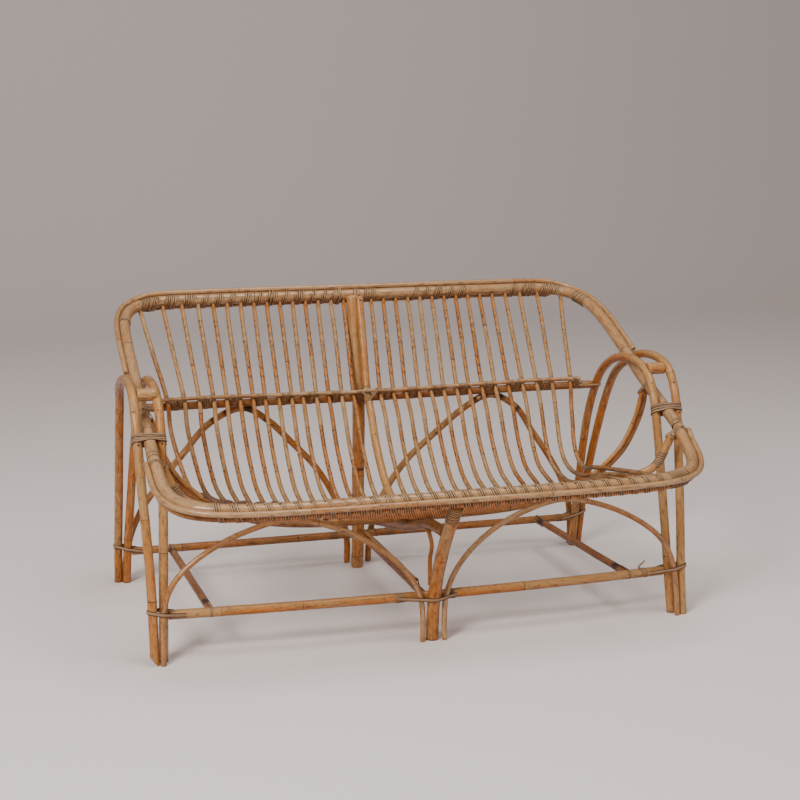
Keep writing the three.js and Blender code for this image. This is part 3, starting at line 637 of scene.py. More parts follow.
class SweepTree(PieceTree):
    """Sweeps strands of cane."""

    def __init__(self, name: str, flat: bool) -> None:
        """Builds the tree.

        Args:
            name: the tree's name.
            flat: sweeps a flat peel whose broad side follows the 'face' attribute, not a round pole.
        """
        super().__init__(name, {"Sides": "NodeSocketInt", "Width": "NodeSocketFloat"})
        rail = self.add("GeometryNodeMeshToCurve", {"Mesh": self.given["Geometry"]})["Curve"]
        if flat:
            face = self.read("face", "FLOAT_VECTOR")
            rail = self.add("GeometryNodeSetCurveNormal", {"Curve": rail, "Normal": face},
                            mode="FREE")["Curve"]
        ring = self.add("GeometryNodeCurvePrimitiveCircle",
                        {"Radius": 1.0, "Resolution": self.given["Sides"]})
        factor = self.add("GeometryNodeSplineParameter", {})["Factor"]
        marked = self.store(ring["Curve"], "turn", "FLOAT", factor)
        scale = self.add("ShaderNodeCombineXYZ", {"X": 1.0, "Y": self.given["Width"], "Z": 1.0})[0]
        profile = self.add("GeometryNodeTransform", {"Geometry": marked, "Scale": scale})["Geometry"]
        thick = self.read("thick")
        sweep = self.add("GeometryNodeCurveToMesh", {"Curve": rail, "Profile Curve": profile,
                                                     "Scale": thick, "Fill Caps": True})["Mesh"]
        angle = self.math("MULTIPLY", self.read("turn"), 2 * math.pi)
        sine = self.math("SINE", angle)
        unrolled = self.add("ShaderNodeCombineXYZ", {
            "X": self.math("MULTIPLY", self.math("COSINE", angle), thick),
            "Y": self.math("MULTIPLY", sine, thick),
            "Z": self.read("run"),
        })[0]
        mapped = self.store(sweep, "cane", "FLOAT_VECTOR", unrolled)
        self.close(self.store(mapped, "edge", "FLOAT", self.math("ABSOLUTE", sine)))

    def swept(self, name: str, strands: list[Strand], finish: Finish, sides: int, width: float = 1.0,
              feet: bool = False) -> bpy.types.Object:
        """Sweeps strands into one piece.

        Args:
            name: the piece's name.
            strands: what is swept.
            finish: the piece's finish.
            sides: faces round each strand.
            width: how many times wider than thick a strand is.
            feet: levels ends that stand on the floor.

        Returns:
            The piece, riding on the sofa's body.
        """
        mesh = bpy.data.meshes.new(name)
        counts = [len(strand.points) for strand in strands]
        starts = np.concatenate([[0], np.cumsum(counts)])
        edges = [(int(i), int(i) + 1) for s, n in zip(starts, counts) for i in range(s, s + n - 1)]
        mesh.from_pydata(np.vstack([strand.points for strand in strands]).tolist(), edges, [])
        runs = [np.concatenate([[0.0], np.cumsum(np.linalg.norm(np.diff(strand.points, axis=0), axis=1))])
                for strand in strands]
        offsets = np.concatenate([[0.0], np.cumsum([run[-1] + STRAND_GAP for run in runs])])
        layers = {key: np.concatenate([getattr(strand, key) for strand in strands])
                  for key in ("thick", "knot", "tone")}
        layers["run"] = np.concatenate([run + offset for run, offset in zip(runs, offsets)])
        for key, values in layers.items():
            mesh.attributes.new(key, "FLOAT", "POINT").data.foreach_set("value", values.astype(np.float32))
        if strands[0].face is not None:
            faces = np.vstack([strand.face for strand in strands]).astype(np.float32)
            mesh.attributes.new("face", "FLOAT_VECTOR", "POINT").data.foreach_set("vector", faces.ravel())
        piece = self.run(name, mesh, finish, {"Sides": sides, "Width": width})
        tidy_mesh(piece.data, feet)
        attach(piece, "root")
        return piece


def tidy_mesh(mesh: bpy.types.Mesh, feet: bool) -> None:
    """Turns a swept mesh outward, squares its cut ends and levels its feet.

    Args:
        mesh: the mesh.
        feet: levels ends that stand on the floor.
    """
    corners = np.zeros(len(mesh.vertices) * 3)
    mesh.vertices.foreach_get("co", corners)
    corners = corners.reshape(-1, 3)
    mesh.calc_loop_triangles()
    triangles = np.zeros(len(mesh.loop_triangles) * 3, np.int32)
    mesh.loop_triangles.foreach_get("vertices", triangles)
    a, b, c = (corners[triangles.reshape(-1, 3)[:, k]] for k in range(3))
    if np.einsum("ij,ij->i", np.cross(a, b), c).sum() < 0:
        mesh.flip_normals()
    keys = set()
    for polygon in mesh.polygons:
        if len(polygon.vertices) > 4:
            polygon.use_smooth = False
            keys.update(polygon.edge_keys)
            ring = list(polygon.vertices)
            if feet and corners[ring, 2].mean() < FLOOR_REACH:
                out = np.array(polygon.normal)
                for v in ring:
                    corners[v] -= out * corners[v, 2] / out[2]
    sharp = [tuple(sorted(edge.vertices)) in keys for edge in mesh.edges]
    layer = mesh.attributes.get("sharp_edge") or mesh.attributes.new("sharp_edge", "BOOLEAN", "EDGE")
    layer.data.foreach_set("value", sharp)
    mesh.vertices.foreach_set("co", corners.ravel())
    mesh.update()


def scarf_cut(mesh: bpy.types.Mesh, corner: np.ndarray, outward: np.ndarray) -> None:
    """Saws off what stands beyond a slanting plane and closes the cut.

    Args:
        mesh: the pole's mesh.
        corner: a point of the plane.
        outward: the side that is taken off.
    """
    shape = bmesh.new()
    shape.from_mesh(mesh)
    bmesh.ops.bisect_plane(shape, geom=[*shape.verts, *shape.edges, *shape.faces], dist=0.01 * MM,
                           plane_co=Vector(corner), plane_no=Vector(outward), clear_outer=True)
    rim = [edge for edge in shape.edges if edge.is_boundary]
    bmesh.ops.contextual_create(shape, geom=rim)
    for edge in rim:
        edge.smooth = False
        for face in edge.link_faces:
            if len(face.verts) > 4:
                face.smooth = False
    bmesh.ops.recalc_face_normals(shape, faces=shape.faces[:])
    shape.to_mesh(mesh)
    shape.free()


@dataclass(frozen=True)
class Growth:
    """How a pole has grown: its rings, how it strays and swells, its tone, and how much fuller it is."""

    SECTION_GAP = 8 * MM
    LEAST_GAP = 0.2 * MM
    RING_SECTIONS = (-9.0, -5.0, -2.4, -1.1, -0.4, 0.4, 1.1, 2.4, 5.0, 9.0)
    HELD_END = 60 * MM
    END_ROUNDING = 0.9 * MM
    RING_WIDTH = 4.2 * MM
    NOTCH_WIDTH = 0.8 * MM
    MARK_WIDTH = 1.1 * MM

    ring_gap: float = 0.21
    ridge: float = 0.045
    stray: float = 0.6 * MM
    swell: float = 0.02
    tone: float = 0.45
    tone_spread: float = 0.3
    back_tone_rise: float = 0.0
    fuller: float = 0.03

    def strand(self, axis: Axis, seed: int, scorched: tuple[tuple[float, float], ...] = ()) -> Strand:
        """Grows one pole along a centre line; what stands further back gets a higher, warmer tone.

        Args:
            axis: the centre line.
            seed: the seed of this pole's own chances.
            scorched: bending scorches, each the distance along the line and the scorch's half length.

        Returns:
            The pole as a strand.
        """
        chance = np.random.default_rng(seed)
        length = axis.length
        places, place = [], self.ring_gap * chance.uniform(0.2, 1.0)
        while place < length - 10 * MM:
            places.append(place)
            place += self.ring_gap * chance.uniform(0.7, 1.35)
        runs = [np.linspace(0, length, max(3, round(length / self.SECTION_GAP) + 1)),
                [self.END_ROUNDING, length - self.END_ROUNDING]]
        near = np.array(self.RING_SECTIONS) * MM
        runs += [place + near for place in places]
        run = np.unique(np.round(np.concatenate(runs), 5))
        run = run[(run >= 0) & (run <= length)]
        run = np.concatenate([run[:1], run[1:][np.diff(run) > self.LEAST_GAP]])
        waves = np.zeros((len(run), 3))
        for k in range(3):
            for cycle in (1.6, 3.1, 5.3):
                phase = chance.uniform(0, 2 * math.pi)
                wave_size = chance.normal()
                wave = np.sin(cycle * math.pi * run / max(length, 0.3) + phase)
                waves[:, k] += wave_size * wave / cycle
        held = np.clip(np.minimum(run, length - run) / self.HELD_END, 0, 1)
        points = axis.at(run) + waves * self.stray * held[:, None]
        thick = np.full(len(run), axis.radius)
        phase = chance.uniform(0, 2 * math.pi, 2)
        swelling = np.sin(run * 17 + phase[0]) + np.sin(run * 41 + phase[1]) * 0.5
        thick *= 1 + self.fuller + self.swell * 0.5 * swelling
        knot = np.zeros(len(run))
        levels = chance.normal(self.tone, self.tone_spread, len(places) + 1)
        tone = np.full(len(run), levels[0])
        for i, place in enumerate(places):
            off = run - place
            strength = chance.uniform(0.5, 1.0)
            thick += axis.radius * self.ridge * strength * np.exp(-(off / self.RING_WIDTH) ** 2)
            thick -= axis.radius * self.ridge * 0.7 * np.exp(-(off / self.NOTCH_WIDTH) ** 2)
            knot = np.maximum(knot, strength * np.exp(-(off / self.MARK_WIDTH) ** 2))
            tone += (levels[i + 1] - tone) * (off > 0)
        # tone rises towards the back of the sofa, by the point's y
        tone += self.back_tone_rise * np.clip(points[:, 1] / 0.4, -1, 1)
        for place, half in scorched:
            knot = np.maximum(knot, 0.85 * np.exp(-((run - place) / half) ** 4))
        thick[[0, -1]] *= 0.86
        return Strand(points, thick, knot, tone)


# ---- Bindings


@dataclass
class Bundle:
    """Poles that are bound together, and the tight loop that a peel makes round them."""

    members: list[Axis]
    thickness: float = 0.9 * MM

    def touch(self, origin: np.ndarray, normal: np.ndarray, outward: np.ndarray,
              lift: float = 0.0) -> np.ndarray:
        """Where a taut loop in a plane lies furthest in a direction.

        Args:
            origin: a point of the plane.
            normal: the plane's normal.
            outward: the direction, in the plane.
            lift: how far the loop stays off the poles.

        Returns:
            The middle of the peel there.
        """
        best, place = -1e9, origin
        for member in self.members:
            centre, along = member.crossing(origin, normal)
            slant = max(abs(float(normal @ along)), 0.3)
            long_side = unit(along - normal * float(normal @ along)) if slant < 0.999 else outward
            stretch = (member.radius / slant) ** 2 - member.radius ** 2
            pushed = member.radius ** 2 * outward + stretch * float(long_side @ outward) * long_side
            spot = centre + pushed / math.sqrt(max(float(outward @ pushed), 1e-12))
            reach = float((spot - origin) @ outward)
            if reach > best:
                best, place = reach, spot
        return place + outward * (self.thickness / 2 + lift)

    def coil(self, main: Axis, start: float, turns: float, pitch: float, up: np.ndarray, seed: int,
             tilt: float = 0.0, begin: float = -0.25, per_turn: int = 22, lift: float = 0.0,
             tone: float = 0.0) -> Strand:
        """A peel wound on along a pole.

        Args:
            main: the pole along which it moves on.
            start: where it starts along that pole.
            turns: number of turns.
            pitch: how far it moves on in one turn.
            up: the direction from which turns are counted.
            seed: the seed of its chances.
            tilt: how far the loops lean along the pole, as a slope.
            begin: the part of a turn at which it starts.
            per_turn: samples in a turn.
            lift: how far it stays off the poles.
            tone: added to the peel's tone.

        Returns:
            The peel as a strand.
        """
        chance = np.random.default_rng(seed)
        count = max(4, round(turns * per_turn))
        points, faces = [], []
        jitter = chance.normal(0, 0.12 * abs(pitch), math.ceil(abs(turns)) + 2)
        for i in range(count + 1):
            turned = turns * i / count
            angle = 2 * math.pi * (turned + begin)
            run = start + pitch * turned + np.interp(turned, range(len(jitter)), jitter)
            origin, along = main.at(run), main.along(run)
            level = unit(up - along * float(up @ along))
            cross = np.cross(along, level)
            normal = unit(along + tilt * level)
            first = unit(level - normal * float(level @ normal))
            outward = first * math.cos(angle) + cross * math.sin(angle)
            points.append(self.touch(origin, normal, outward, lift))
            faces.append(outward)
        size = len(points)
        thick = np.full(size, self.thickness / 2)
        thick[[0, -1]] *= 0.5
        return Strand(np.array(points), thick, np.zeros(size),
                      np.full(size, tone + chance.normal(0, 0.16)), np.array(faces))

    def group(self, main: Axis, start: float, count: int, pitch: float, up: np.ndarray, seed: int,
              tilt: float, begin: float = -0.25, per_turn: int = 22) -> list[Strand]:
        """Turns laid side by side, every second one darker.

        Args:
            main: the pole along which they lie.
            start: where the first one starts along that pole.
            count: number of turns.
            pitch: the distance between two turns.
            up: the direction from which turns are counted.
            seed: the seed of the first turn's chances.
            tilt: how far the turns lean along the pole, as a slope.
            begin: the part of a turn at which each starts.
            per_turn: samples in a turn.

        Returns:
            The turns as strands.
        """
        return [self.coil(main, start + pitch * k, 1.1, pitch, up, seed + k, tilt=tilt, begin=begin,
                          per_turn=per_turn, tone=0.65 * (k % 2) - 0.1) for k in range(count)]

    def loop(self, origin: np.ndarray, normal: np.ndarray, ahead: np.ndarray, start: float, end: float,
             seed: int, samples: int = 44, lift: float = 0.0, tone: float = 0.0) -> Strand:
        """A peel laid once round the poles in one plane.

        Args:
            origin: a point of the plane.
            normal: the plane's normal.
            ahead: the direction from which turns are counted.
            start: the part of a turn at which the peel starts.
            end: the part of a turn at which it ends.
            seed: the seed of its chances.
            samples: samples along it.
            lift: how far it stays off the poles.
            tone: added to the peel's tone.

        Returns:
            The peel as a strand.
        """
        chance = np.random.default_rng(seed)
        normal = unit(normal)
        first = unit(ahead - normal * float(ahead @ normal))
        cross = np.cross(normal, first)
        faces = [first * math.cos(2 * math.pi * turn) + cross * math.sin(2 * math.pi * turn)
                 for turn in np.linspace(start, end, samples)]
        points = np.array([self.touch(origin, normal, face, lift) for face in faces])
        kept = np.concatenate([[True], np.linalg.norm(np.diff(points, axis=0), axis=1) > 0.05 * MM])
        size = int(kept.sum())
        return Strand(points[kept], np.full(size, self.thickness / 2), np.zeros(size),
                      np.full(size, tone + chance.normal(0, 0.12)), np.array(faces)[kept])


class NailTree(PieceTree):
    """Sets nail heads on points, each along its own direction."""

    def __init__(self) -> None:
        """Builds the tree."""
        super().__init__("nail_heads", {"Head Radius": "NodeSocketFloat"})
        head = self.add("GeometryNodeMeshUVSphere", {"Segments": 10, "Rings": 6,
                                                     "Radius": self.given["Head Radius"]})["Mesh"]
        flat = self.add("GeometryNodeTransform", {"Scale": (1.0, 1.0, 0.45), "Geometry": head})["Geometry"]
        turn = self.add("FunctionNodeAlignRotationToVector", {"Vector": self.read("face", "FLOAT_VECTOR")})
        points = self.add("GeometryNodeMeshToPoints", {"Mesh": self.given["Geometry"]})["Points"]
        low, high, as_float = 2, 3, 1
        size = self.add("FunctionNodeRandomValue", {low: 0.8, high: 1.2, "Seed": 11}, data_type="FLOAT")
        placed = self.add("GeometryNodeInstanceOnPoints", {"Points": points, "Instance": flat,
                                                           "Rotation": turn["Rotation"],
                                                           "Scale": size[as_float]})
        self.close(placed["Instances"])

    def driven(self, name: str, spots: list[tuple[np.ndarray, np.ndarray]], radius: float) -> None:
        """Drives nails, all as one piece.

        Args:
            name: the piece's name.
            spots: the place and outward direction of each nail.
            radius: the radius of a head.
        """
        mesh = bpy.data.meshes.new(name)
        mesh.from_pydata([tuple(map(float, place)) for place, _ in spots], [], [])
        faces = np.array([direction for _, direction in spots], np.float32)
        mesh.attributes.new("face", "FLOAT_VECTOR", "POINT").data.foreach_set("vector", faces.ravel())
        piece = self.run(name, mesh, Finish.IRON, {"Head Radius": radius})
        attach(piece, "root")


# ---- The sofa's own parts


def leg_at(hoop: Axis, height: float, front: bool) -> np.ndarray:
    """Finds where a leg of a hoop passes a height.

    Args:
        hoop: the hoop's centre line.
        height: the height.
        front: takes the front leg, not the back one.

    Returns:
        The place on the leg's centre line.
    """
    places = [hoop.at(hoop.where(2, height, last)) for last in (False, True)]
    return min(places, key=lambda place: place[1] if front else -place[1])


def box_middle(node: str) -> np.ndarray:
    """The middle of a node's box."""
    low, high = (np.array(corner[:]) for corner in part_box(node))
    return (low + high) / 2


class Workshop:
    """What all parts of the sofa share: the sweeps, the nails and every pole's centre line."""

    def __init__(self) -> None:
        """Builds the trees; centre lines are read when they are asked for."""
        self.round = SweepTree("round_cane_sweep", flat=False)
        self.flat = SweepTree("split_cane_sweep", flat=True)
        self.nails = NailTree()
        self.axes: dict[str, Axis] = {}

    def pole(self, node: str, sides: int, finish: Finish, growth: Growth, seed: int, faces: int = 14,
             feet: bool = False, axis: Axis | None = None,
             scorched: tuple[tuple[int, float, float], ...] = ()) -> bpy.types.Object:
        """Sweeps one of the frame's poles again and lets it stand for its node.

        Args:
            node: the node's name.
            sides: the number of sides of the node.
            finish: the pole's finish.
            growth: how the pole has grown.
            seed: the seed of its chances.
            faces: faces round the new pole.
            feet: levels ends that stand on the floor.
            axis: the centre line, where it isn't read from the node's rings.
            scorched: scorches, each the number of a coordinate, its value there and the half length.

        Returns:
            The new pole.
        """
        line = axis or NodeReader(node, sides).axis()
        if line.points[0][2] < line.points[-1][2]:
            line = Axis(line.points[::-1], line.radius)
        self.axes[node] = line
        marks = tuple((line.where(number, value), half) for number, value, half in scorched)
        strand = growth.strand(line, seed, scorched=marks)
        piece = self.round.swept(f"{node}_cane", [strand], finish, faces, feet=feet)
        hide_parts(node)
        LOG.info("%s: %.0f mm long, %.1f mm thick", node, line.length / MM, 2 * line.radius / MM)
        return piece

    def extra(self, name: str, axis: Axis, finish: Finish, growth: Growth, seed: int, faces: int) -> None:
        """Sweeps a cane that has no node of its own."""
        self.axes[name] = axis
        self.round.swept(name, [growth.strand(axis, seed)], finish, faces)
        LOG.info("%s: %.0f mm long, %.1f mm thick", name, axis.length / MM, 2 * axis.radius / MM)

    def peel(self, name: str, strands: list[Strand], width: float,
             finish: Finish = Finish.PEEL) -> bpy.types.Object:
        """Sweeps strips of peel into one piece.

        Args:
            name: the piece's name.
            strands: the strips.
            width: how many times wider than thick a strip is.
            finish: the strips' finish.

        Returns:
            The piece.
        """
        LOG.info("%s: %d strips", name, len(strands))
        return self.flat.swept(name, strands, finish, PEEL_SIDES, width)

    def hoops(self, side: str) -> list[Axis]:
        """The inner and the outer hoop of one arm."""
        return [self.axes[f"arm_hoop_{name}_{side}"] for name in ("inner", "outer")]


@dataclass
class Rims:
    """Upper and front rim with the canes that run beside them."""

    rail_cane: float = 10 * MM
    rail_cane_reach: float = 0.545
    upper: Growth = Growth(ring_gap=0.3, ridge=0.03, tone=0.05)
    front: Growth = Growth(ring_gap=0.3, ridge=0.03, tone=0.3)
    thin: Growth = Growth(ring_gap=0.26, ridge=0.05, tone=0.3)

    def build(self, shop: Workshop) -> None:
        """Sweeps the rims and their canes."""
        shop.pole("upper_rim", 10, Finish.STRAW, self.upper, 3, 20)
        shop.pole("front_rim", 10, Finish.STRAW, self.front, 5, 20)
        shop.pole("upper_companion_cane", 6, Finish.STRAW, self.thin, 7)
        shop.pole("front_companion_cane", 6, Finish.STRAW, self.thin, 8)
        shop.pole("front_lower_cane", 6, Finish.TOFFEE, self.thin, 9)
        rim = shop.axes["upper_rim"]
        ends = sorted(rim.nearest(np.array([sign * self.rail_cane_reach, 0.43, 0.73])) for _, sign in SIDES)
        radius = self.rail_cane / 2
        under = rim.beside(rim.radius + radius, np.array([0.0, 0.42, -1.0]), radius, *ends)
        shop.extra("rail_lower_cane", under, Finish.HONEY, self.thin, 12, 12)


@dataclass
class Arms:
    """The paired hoops whose ends are the legs."""

    peg_height: float = 0.5894
    peg_radius: float = 14.5 * MM
    cut_rise: float = 42 * MM
    cut_run: float = 27 * MM
    cut_drop: float = 13 * MM
    cut_inset: float = 12.5 * MM
    growth: Growth = Growth(ring_gap=0.24, ridge=0.05, tone=0.5, back_tone_rise=0.4)
    peg_growth: Growth = Growth(ring_gap=9.0, stray=0.0)

    def build(self, shop: Workshop) -> None:
        """Sweeps the hoops, saws the outer left one's front foot and sets a peg between each pair."""
        for k, (side, _) in enumerate(SIDES):
            hoop = shop.pole(f"arm_hoop_outer_{side}", 8, Finish.HONEY, self.growth, 20 + k, 16, feet=True)
            if side == "left":
                foot = leg_at(shop.axes[f"arm_hoop_outer_{side}"], FLOOR_REACH, True)
                away = unit(np.array([-0.96, -0.28, 0.0]))
                corner = foot * np.array([1.0, 1.0, 0.0]) - away * self.cut_inset - UP * self.cut_drop
                scarf_cut(hoop.data, corner, unit(away * self.cut_rise - UP * self.cut_run))
            shop.pole(f"arm_hoop_inner_{side}", 8, Finish.HONEY, self.growth, 25 + k, 16, feet=True)
            inner, outer = shop.hoops(side)
            ends = [leg_at(line, self.peg_height, True) for line in (inner, outer)]
            ends[1] = ends[1] + unit(ends[0] - ends[1]) * (outer.radius + 0.3 * MM)
            ends[0][1:] = ends[1][1:]
            peg = Axis(np.linspace(ends[0], ends[1], 5), self.peg_radius)
            shop.extra(f"spacer_peg_{side}", peg, Finish.HONEY, self.peg_growth, 30 + k, 20)


@dataclass
class Seat:
    """Slats, the centre seat pole, the mid rail with its face cane and the two bearers."""

    bearer_cane: float = 10 * MM
    slat_growth: Growth = Growth(ring_gap=0.17, ridge=0.09, stray=1.6 * MM, swell=0.03, tone=0.42,
                                 tone_spread=0.34)
    growth: Growth = Growth(ring_gap=0.25, tone=0.5)

    def build(self, shop: Workshop) -> None:
        """Sweeps the seat's poles."""
        for k, (side, _) in enumerate(SIDES):
            for i in range(1, SLATS_PER_SIDE + 1):
                shop.pole(f"slat_{side}_{i:02d}", 6, Finish.SLAT, self.slat_growth, 100 + 20 * k + i, 10)
        shop.pole("centre_seat_pole", 8, Finish.HONEY, self.growth, 41, 16)
        shop.pole("mid_rail", 8, Finish.TOFFEE, self.growth, 42, 14)
        shop.pole("mid_rail_face_cane", 6, Finish.STRAW, self.growth, 43, 10)
        shop.pole("front_seat_bearer", 8, Finish.HONEY, self.growth, 44, 14)
        shop.pole("rear_seat_bearer", 8, Finish.TOFFEE, self.growth, 45, 14)
        bearer = shop.axes["rear_seat_bearer"]
        radius = self.bearer_cane / 2
        for k, (side, sign) in enumerate(SIDES):
            end = bearer.length if sign * bearer.points[-1, 0] > 0 else 0.0
            runs = sorted((bearer.where(0, sign * 0.46), end))
            inside = np.array([-sign * 1.0, -0.75, 0.3])
            thin = bearer.beside(bearer.radius + radius, inside, radius, *runs)
            shop.extra(f"rear_bearer_cane_{side}", thin, Finish.HONEY, self.growth, 46 + k, 10)


@dataclass
class Props:
    """Everything that stands or lies under the seat."""

    brace: float = 10 * MM
    post_radius: float = 16 * MM
    bearer_radius: float = 12 * MM
    growth: Growth = Growth(ring_gap=0.26, tone=0.55)
    side_growth: Growth = Growth(ring_gap=0.26, tone=1.0)
    front_growth: Growth = Growth(ring_gap=0.26, tone=0.4, fuller=0.12)
    arch_scorches: tuple[tuple[tuple[int, float, float], ...], ...] = (
        ((0, -0.408, 0.005), (0, -0.372, 0.011), (0, -0.32, 0.014), (0, -0.271, 0.01)),
        ((0, 0.298, 0.005), (0, 0.32, 0.01), (0, 0.362, 0.015), (0, 0.421, 0.008)),
    )
    brace_line: tuple[Triple, ...] = ((0.0, -0.229, 0.127), (0.0, -0.232, 0.189), (0.0, -0.243, 0.228),
                                      (0.0, -0.212, 0.256), (0.0, -0.181, 0.255))

    def build(self, shop: Workshop) -> None:
        """Sweeps the post, the leg, the arches and the stretchers."""
        self._post(shop)
        shop.pole("centre_front_leg", 10, Finish.HONEY, self.growth, 52, 18, feet=True)
        self._bearer(shop)
        for k, (side, _) in enumerate(SIDES):
            shop.pole(f"front_arch_{side}", 6, Finish.STRAW, self.growth, 54 + k, 12, feet=True)
            shop.pole(f"back_arch_{side}", 8, Finish.HONEY, self.growth, 56 + k, 14, feet=True,
                      scorched=self.arch_scorches[k])
            pole = NodeReader(f"side_stretcher_{side}", 8).axis()
            ends = sorted((pole.points[0][1], pole.points[-1][1]))
            marks = ((1, ends[0] + 0.055, 0.018), (1, ends[1] - 0.03, 0.02))
            shop.pole(f"side_stretcher_{side}", 8, Finish.TOFFEE, self.side_growth, 58 + k, 12,
                      scorched=marks)
        shop.pole("front_stretcher", 8, Finish.HONEY, self.front_growth, 60, 16)
        shop.pole("back_stretcher", 8, Finish.TOFFEE, self.growth, 61, 14)
        shop.pole("centre_stretcher", 8, Finish.TOFFEE, self.growth, 62, 12)
        radius = self.brace / 2
        brace = Axis(smoothed(np.array(self.brace_line)), radius)
        shop.extra("leg_brace_cane", brace, Finish.HONEY, self.growth, 63, 10)
        stretcher = shop.axes["centre_stretcher"]
        thin = stretcher.beside(stretcher.radius + radius, np.array([0.25, 0.0, 1.0]), radius, 0.03,
                                stretcher.length - 0.05)
        shop.extra("centre_stretcher_cane", thin, Finish.HONEY, self.growth, 64, 10)

    def _post(self, shop: Workshop) -> None:
        """Sweeps the back post on from its last whole ring to its saddled top."""
        post = NodeReader("centre_back_post", 10)
        rings = post.rings_from(post.caps()[0])
        middles = np.array([post.corners[ring].mean(0) for ring in rings])
        rise = unit(middles[-1] - middles[-2])
        top = middles[-1] + rise * (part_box("centre_back_post")[1].z - middles[-1][2]) / rise[2]
        line = Axis(smoothed(np.vstack([middles, top])), self.post_radius)
        shop.pole("centre_back_post", 10, Finish.HONEY, self.growth, 51, 18, feet=True, axis=line,
                  scorched=((2, 0.281, 0.005),))

    def _bearer(self, shop: Workshop) -> None:
        """Sweeps the centre bearer, whose coped ends reach into its neighbours."""
        slices = NodeReader("centre_seat_bearer", 8).sliced(1, 24, 0.03)
        ends = [slices[0] + unit(slices[0] - slices[1]) * 0.012,
                slices[-1] + unit(slices[-1] - slices[-2]) * 0.02]
        line = Axis(np.vstack([ends[0], slices, ends[1]]), self.bearer_radius)
        shop.pole("centre_seat_bearer", 8, Finish.TOFFEE, self.growth, 53, 14, axis=line)


@dataclass
class RailBinding:
    """Fine peel wound on the upper rim and the cane under it, open at every slat."""

    peel: float = 5.0 * MM
    pitch: float = 5.6 * MM
    window: float = 6.6 * MM
    slant: float = 0.26
    loose_slant: float = 0.16
    height: float = 0.733
    peel_thickness: float = 1.8 * MM
    corner: tuple[float, float] = (0.6, 0.37)
    corner_turns: int = 7
    corner_pitch: float = 6.9 * MM
    spans: tuple[tuple[float, float], ...] = ((-0.575, -0.052), (0.157, 0.309), (0.437, 0.585))

    def build(self, shop: Workshop) -> None:
        """Winds the groups between the slats."""
        rim = shop.axes["upper_rim"]
        bundle = Bundle([rim, shop.axes["rail_lower_cane"]], self.peel_thickness)
        slats = sorted(rim.nearest(shop.axes[name].points[0]) for name in SLAT_NAMES)
        strands, seed = [], 1500
        for low, high in self.spans:
            ends = sorted(rim.nearest(np.array([x, 0.42 if abs(x) < 0.5 else 0.39, self.height]))
                          for x in (low, high))
            edges = [ends[0]]
            for run in slats:
                if ends[0] < run < ends[1]:
                    edges += [run - self.window, run + self.window]
            edges.append(ends[1])
            for start, end in zip(edges[::2], edges[1::2]):
                turns = round((end - start - self.peel) / self.pitch)
                strands += bundle.group(rim, start + self.peel / 2, turns, self.pitch, UP, seed, self.slant)
                seed += max(turns, 1)
        strands += self._loose_turns(rim, bundle)
        shop.peel("rail_binding", strands, self.peel / bundle.thickness)

    def _loose_turns(self, rim: Axis, bundle: Bundle) -> list[Strand]:
        """Winds the wide turns past the last slats and over the post, and the loops that have worked loose.

        Args:
            rim: the upper rim.
            bundle: the rim with the cane under it.

        Returns:
            The turns as strands.
        """
        alone = Bundle([rim], bundle.thickness)
        stout = Bundle([rim], bundle.thickness * 1.15)
        strands = []
        for k, (x, y, turns, pitch, lift, holder) in enumerate((
            (-0.655, 0.30, 3.0, 3.6, 0.0, alone),
            (-0.012, 0.42, 4.0, 3.8, 0.0, alone),
            (0.02, 0.42, 5.0, 6.5, 0.0, alone),
            (-0.064, 0.42, 2.2, 4.2, 0.0, bundle),
            (-0.052, 0.42, 2.0, 4.0, 2.6, bundle),
            (-0.236, 0.42, 1.1, 5.0, 1.6, bundle),
            (-0.226, 0.42, 1.0, -4.0, 2.8, bundle),
        )):
            start = rim.nearest(np.array([x, y, self.height]))
            strands.append(holder.coil(rim, start, turns, pitch * MM * rim.rightward(start), UP, 660 + k,
                                       tilt=self.loose_slant, lift=lift * MM, tone=0.15))
        corner = rim.nearest(np.array([*self.corner, self.height]))
        pitch = self.corner_pitch * rim.rightward(corner)
        return strands + stout.group(rim, corner, self.corner_turns, pitch, UP, 680, self.loose_slant)


@dataclass
class FrontBinding:
    """Fine peel wound on the front rim and the cane under it, open at every slat."""

    peel: float = 5.1 * MM
    pitch: float = 5.7 * MM
    window: float = 6.4 * MM
    slant: float = 0.3
    peel_thickness: float = 1.8 * MM
    beyond: tuple[float, float] = (0.03, 0.066)
    under_peel: float = 0.8 * MM

    def build(self, shop: Workshop) -> None:
        """Winds the groups between the slats."""
        rim = shop.axes["front_rim"]
        bundle = Bundle([rim, shop.axes["front_lower_cane"]], self.peel_thickness)
        names = [*SLAT_NAMES, "centre_seat_pole"]
        slats = sorted(rim.nearest(shop.axes[name].points[-1]) for name in names)
        first, last = self.beyond if rim.at(slats[0])[0] < 0 else self.beyond[::-1]
        edges = [slats[0] - first]
        for run in slats:
            edges += [run - self.window, run + self.window]
        edges.append(slats[-1] + last)
        strands = []
        for k, (start, end) in enumerate(zip(edges[::2], edges[1::2])):
            turns = round((end - start - self.peel) / self.pitch)
            strands += bundle.group(rim, start + self.peel / 2, turns, self.pitch, UP, 2000 + 20 * k,
                                    self.slant)
        shop.peel("front_binding", strands, self.peel / bundle.thickness)
        self._under(shop)

    def _under(self, shop: Workshop) -> None:
        """Winds the lower cane and the bearer behind it closely, each by itself."""
        for k, (name, reach) in enumerate((("front_lower_cane", 0.53), ("front_seat_bearer", 0.4))):
            cane = shop.axes[name]
            start, end = sorted(cane.where(0, sign * reach) for _, sign in SIDES)
            bundle = Bundle([cane], self.under_peel)
            coil = bundle.coil(cane, start, (end - start) / self.pitch, self.pitch, UP, 780 + k,
                               tilt=self.slant, per_turn=14, tone=0.4)
            shop.peel(f"{name}_winding", [coil], self.peel / self.under_peel, Finish.UNDER)


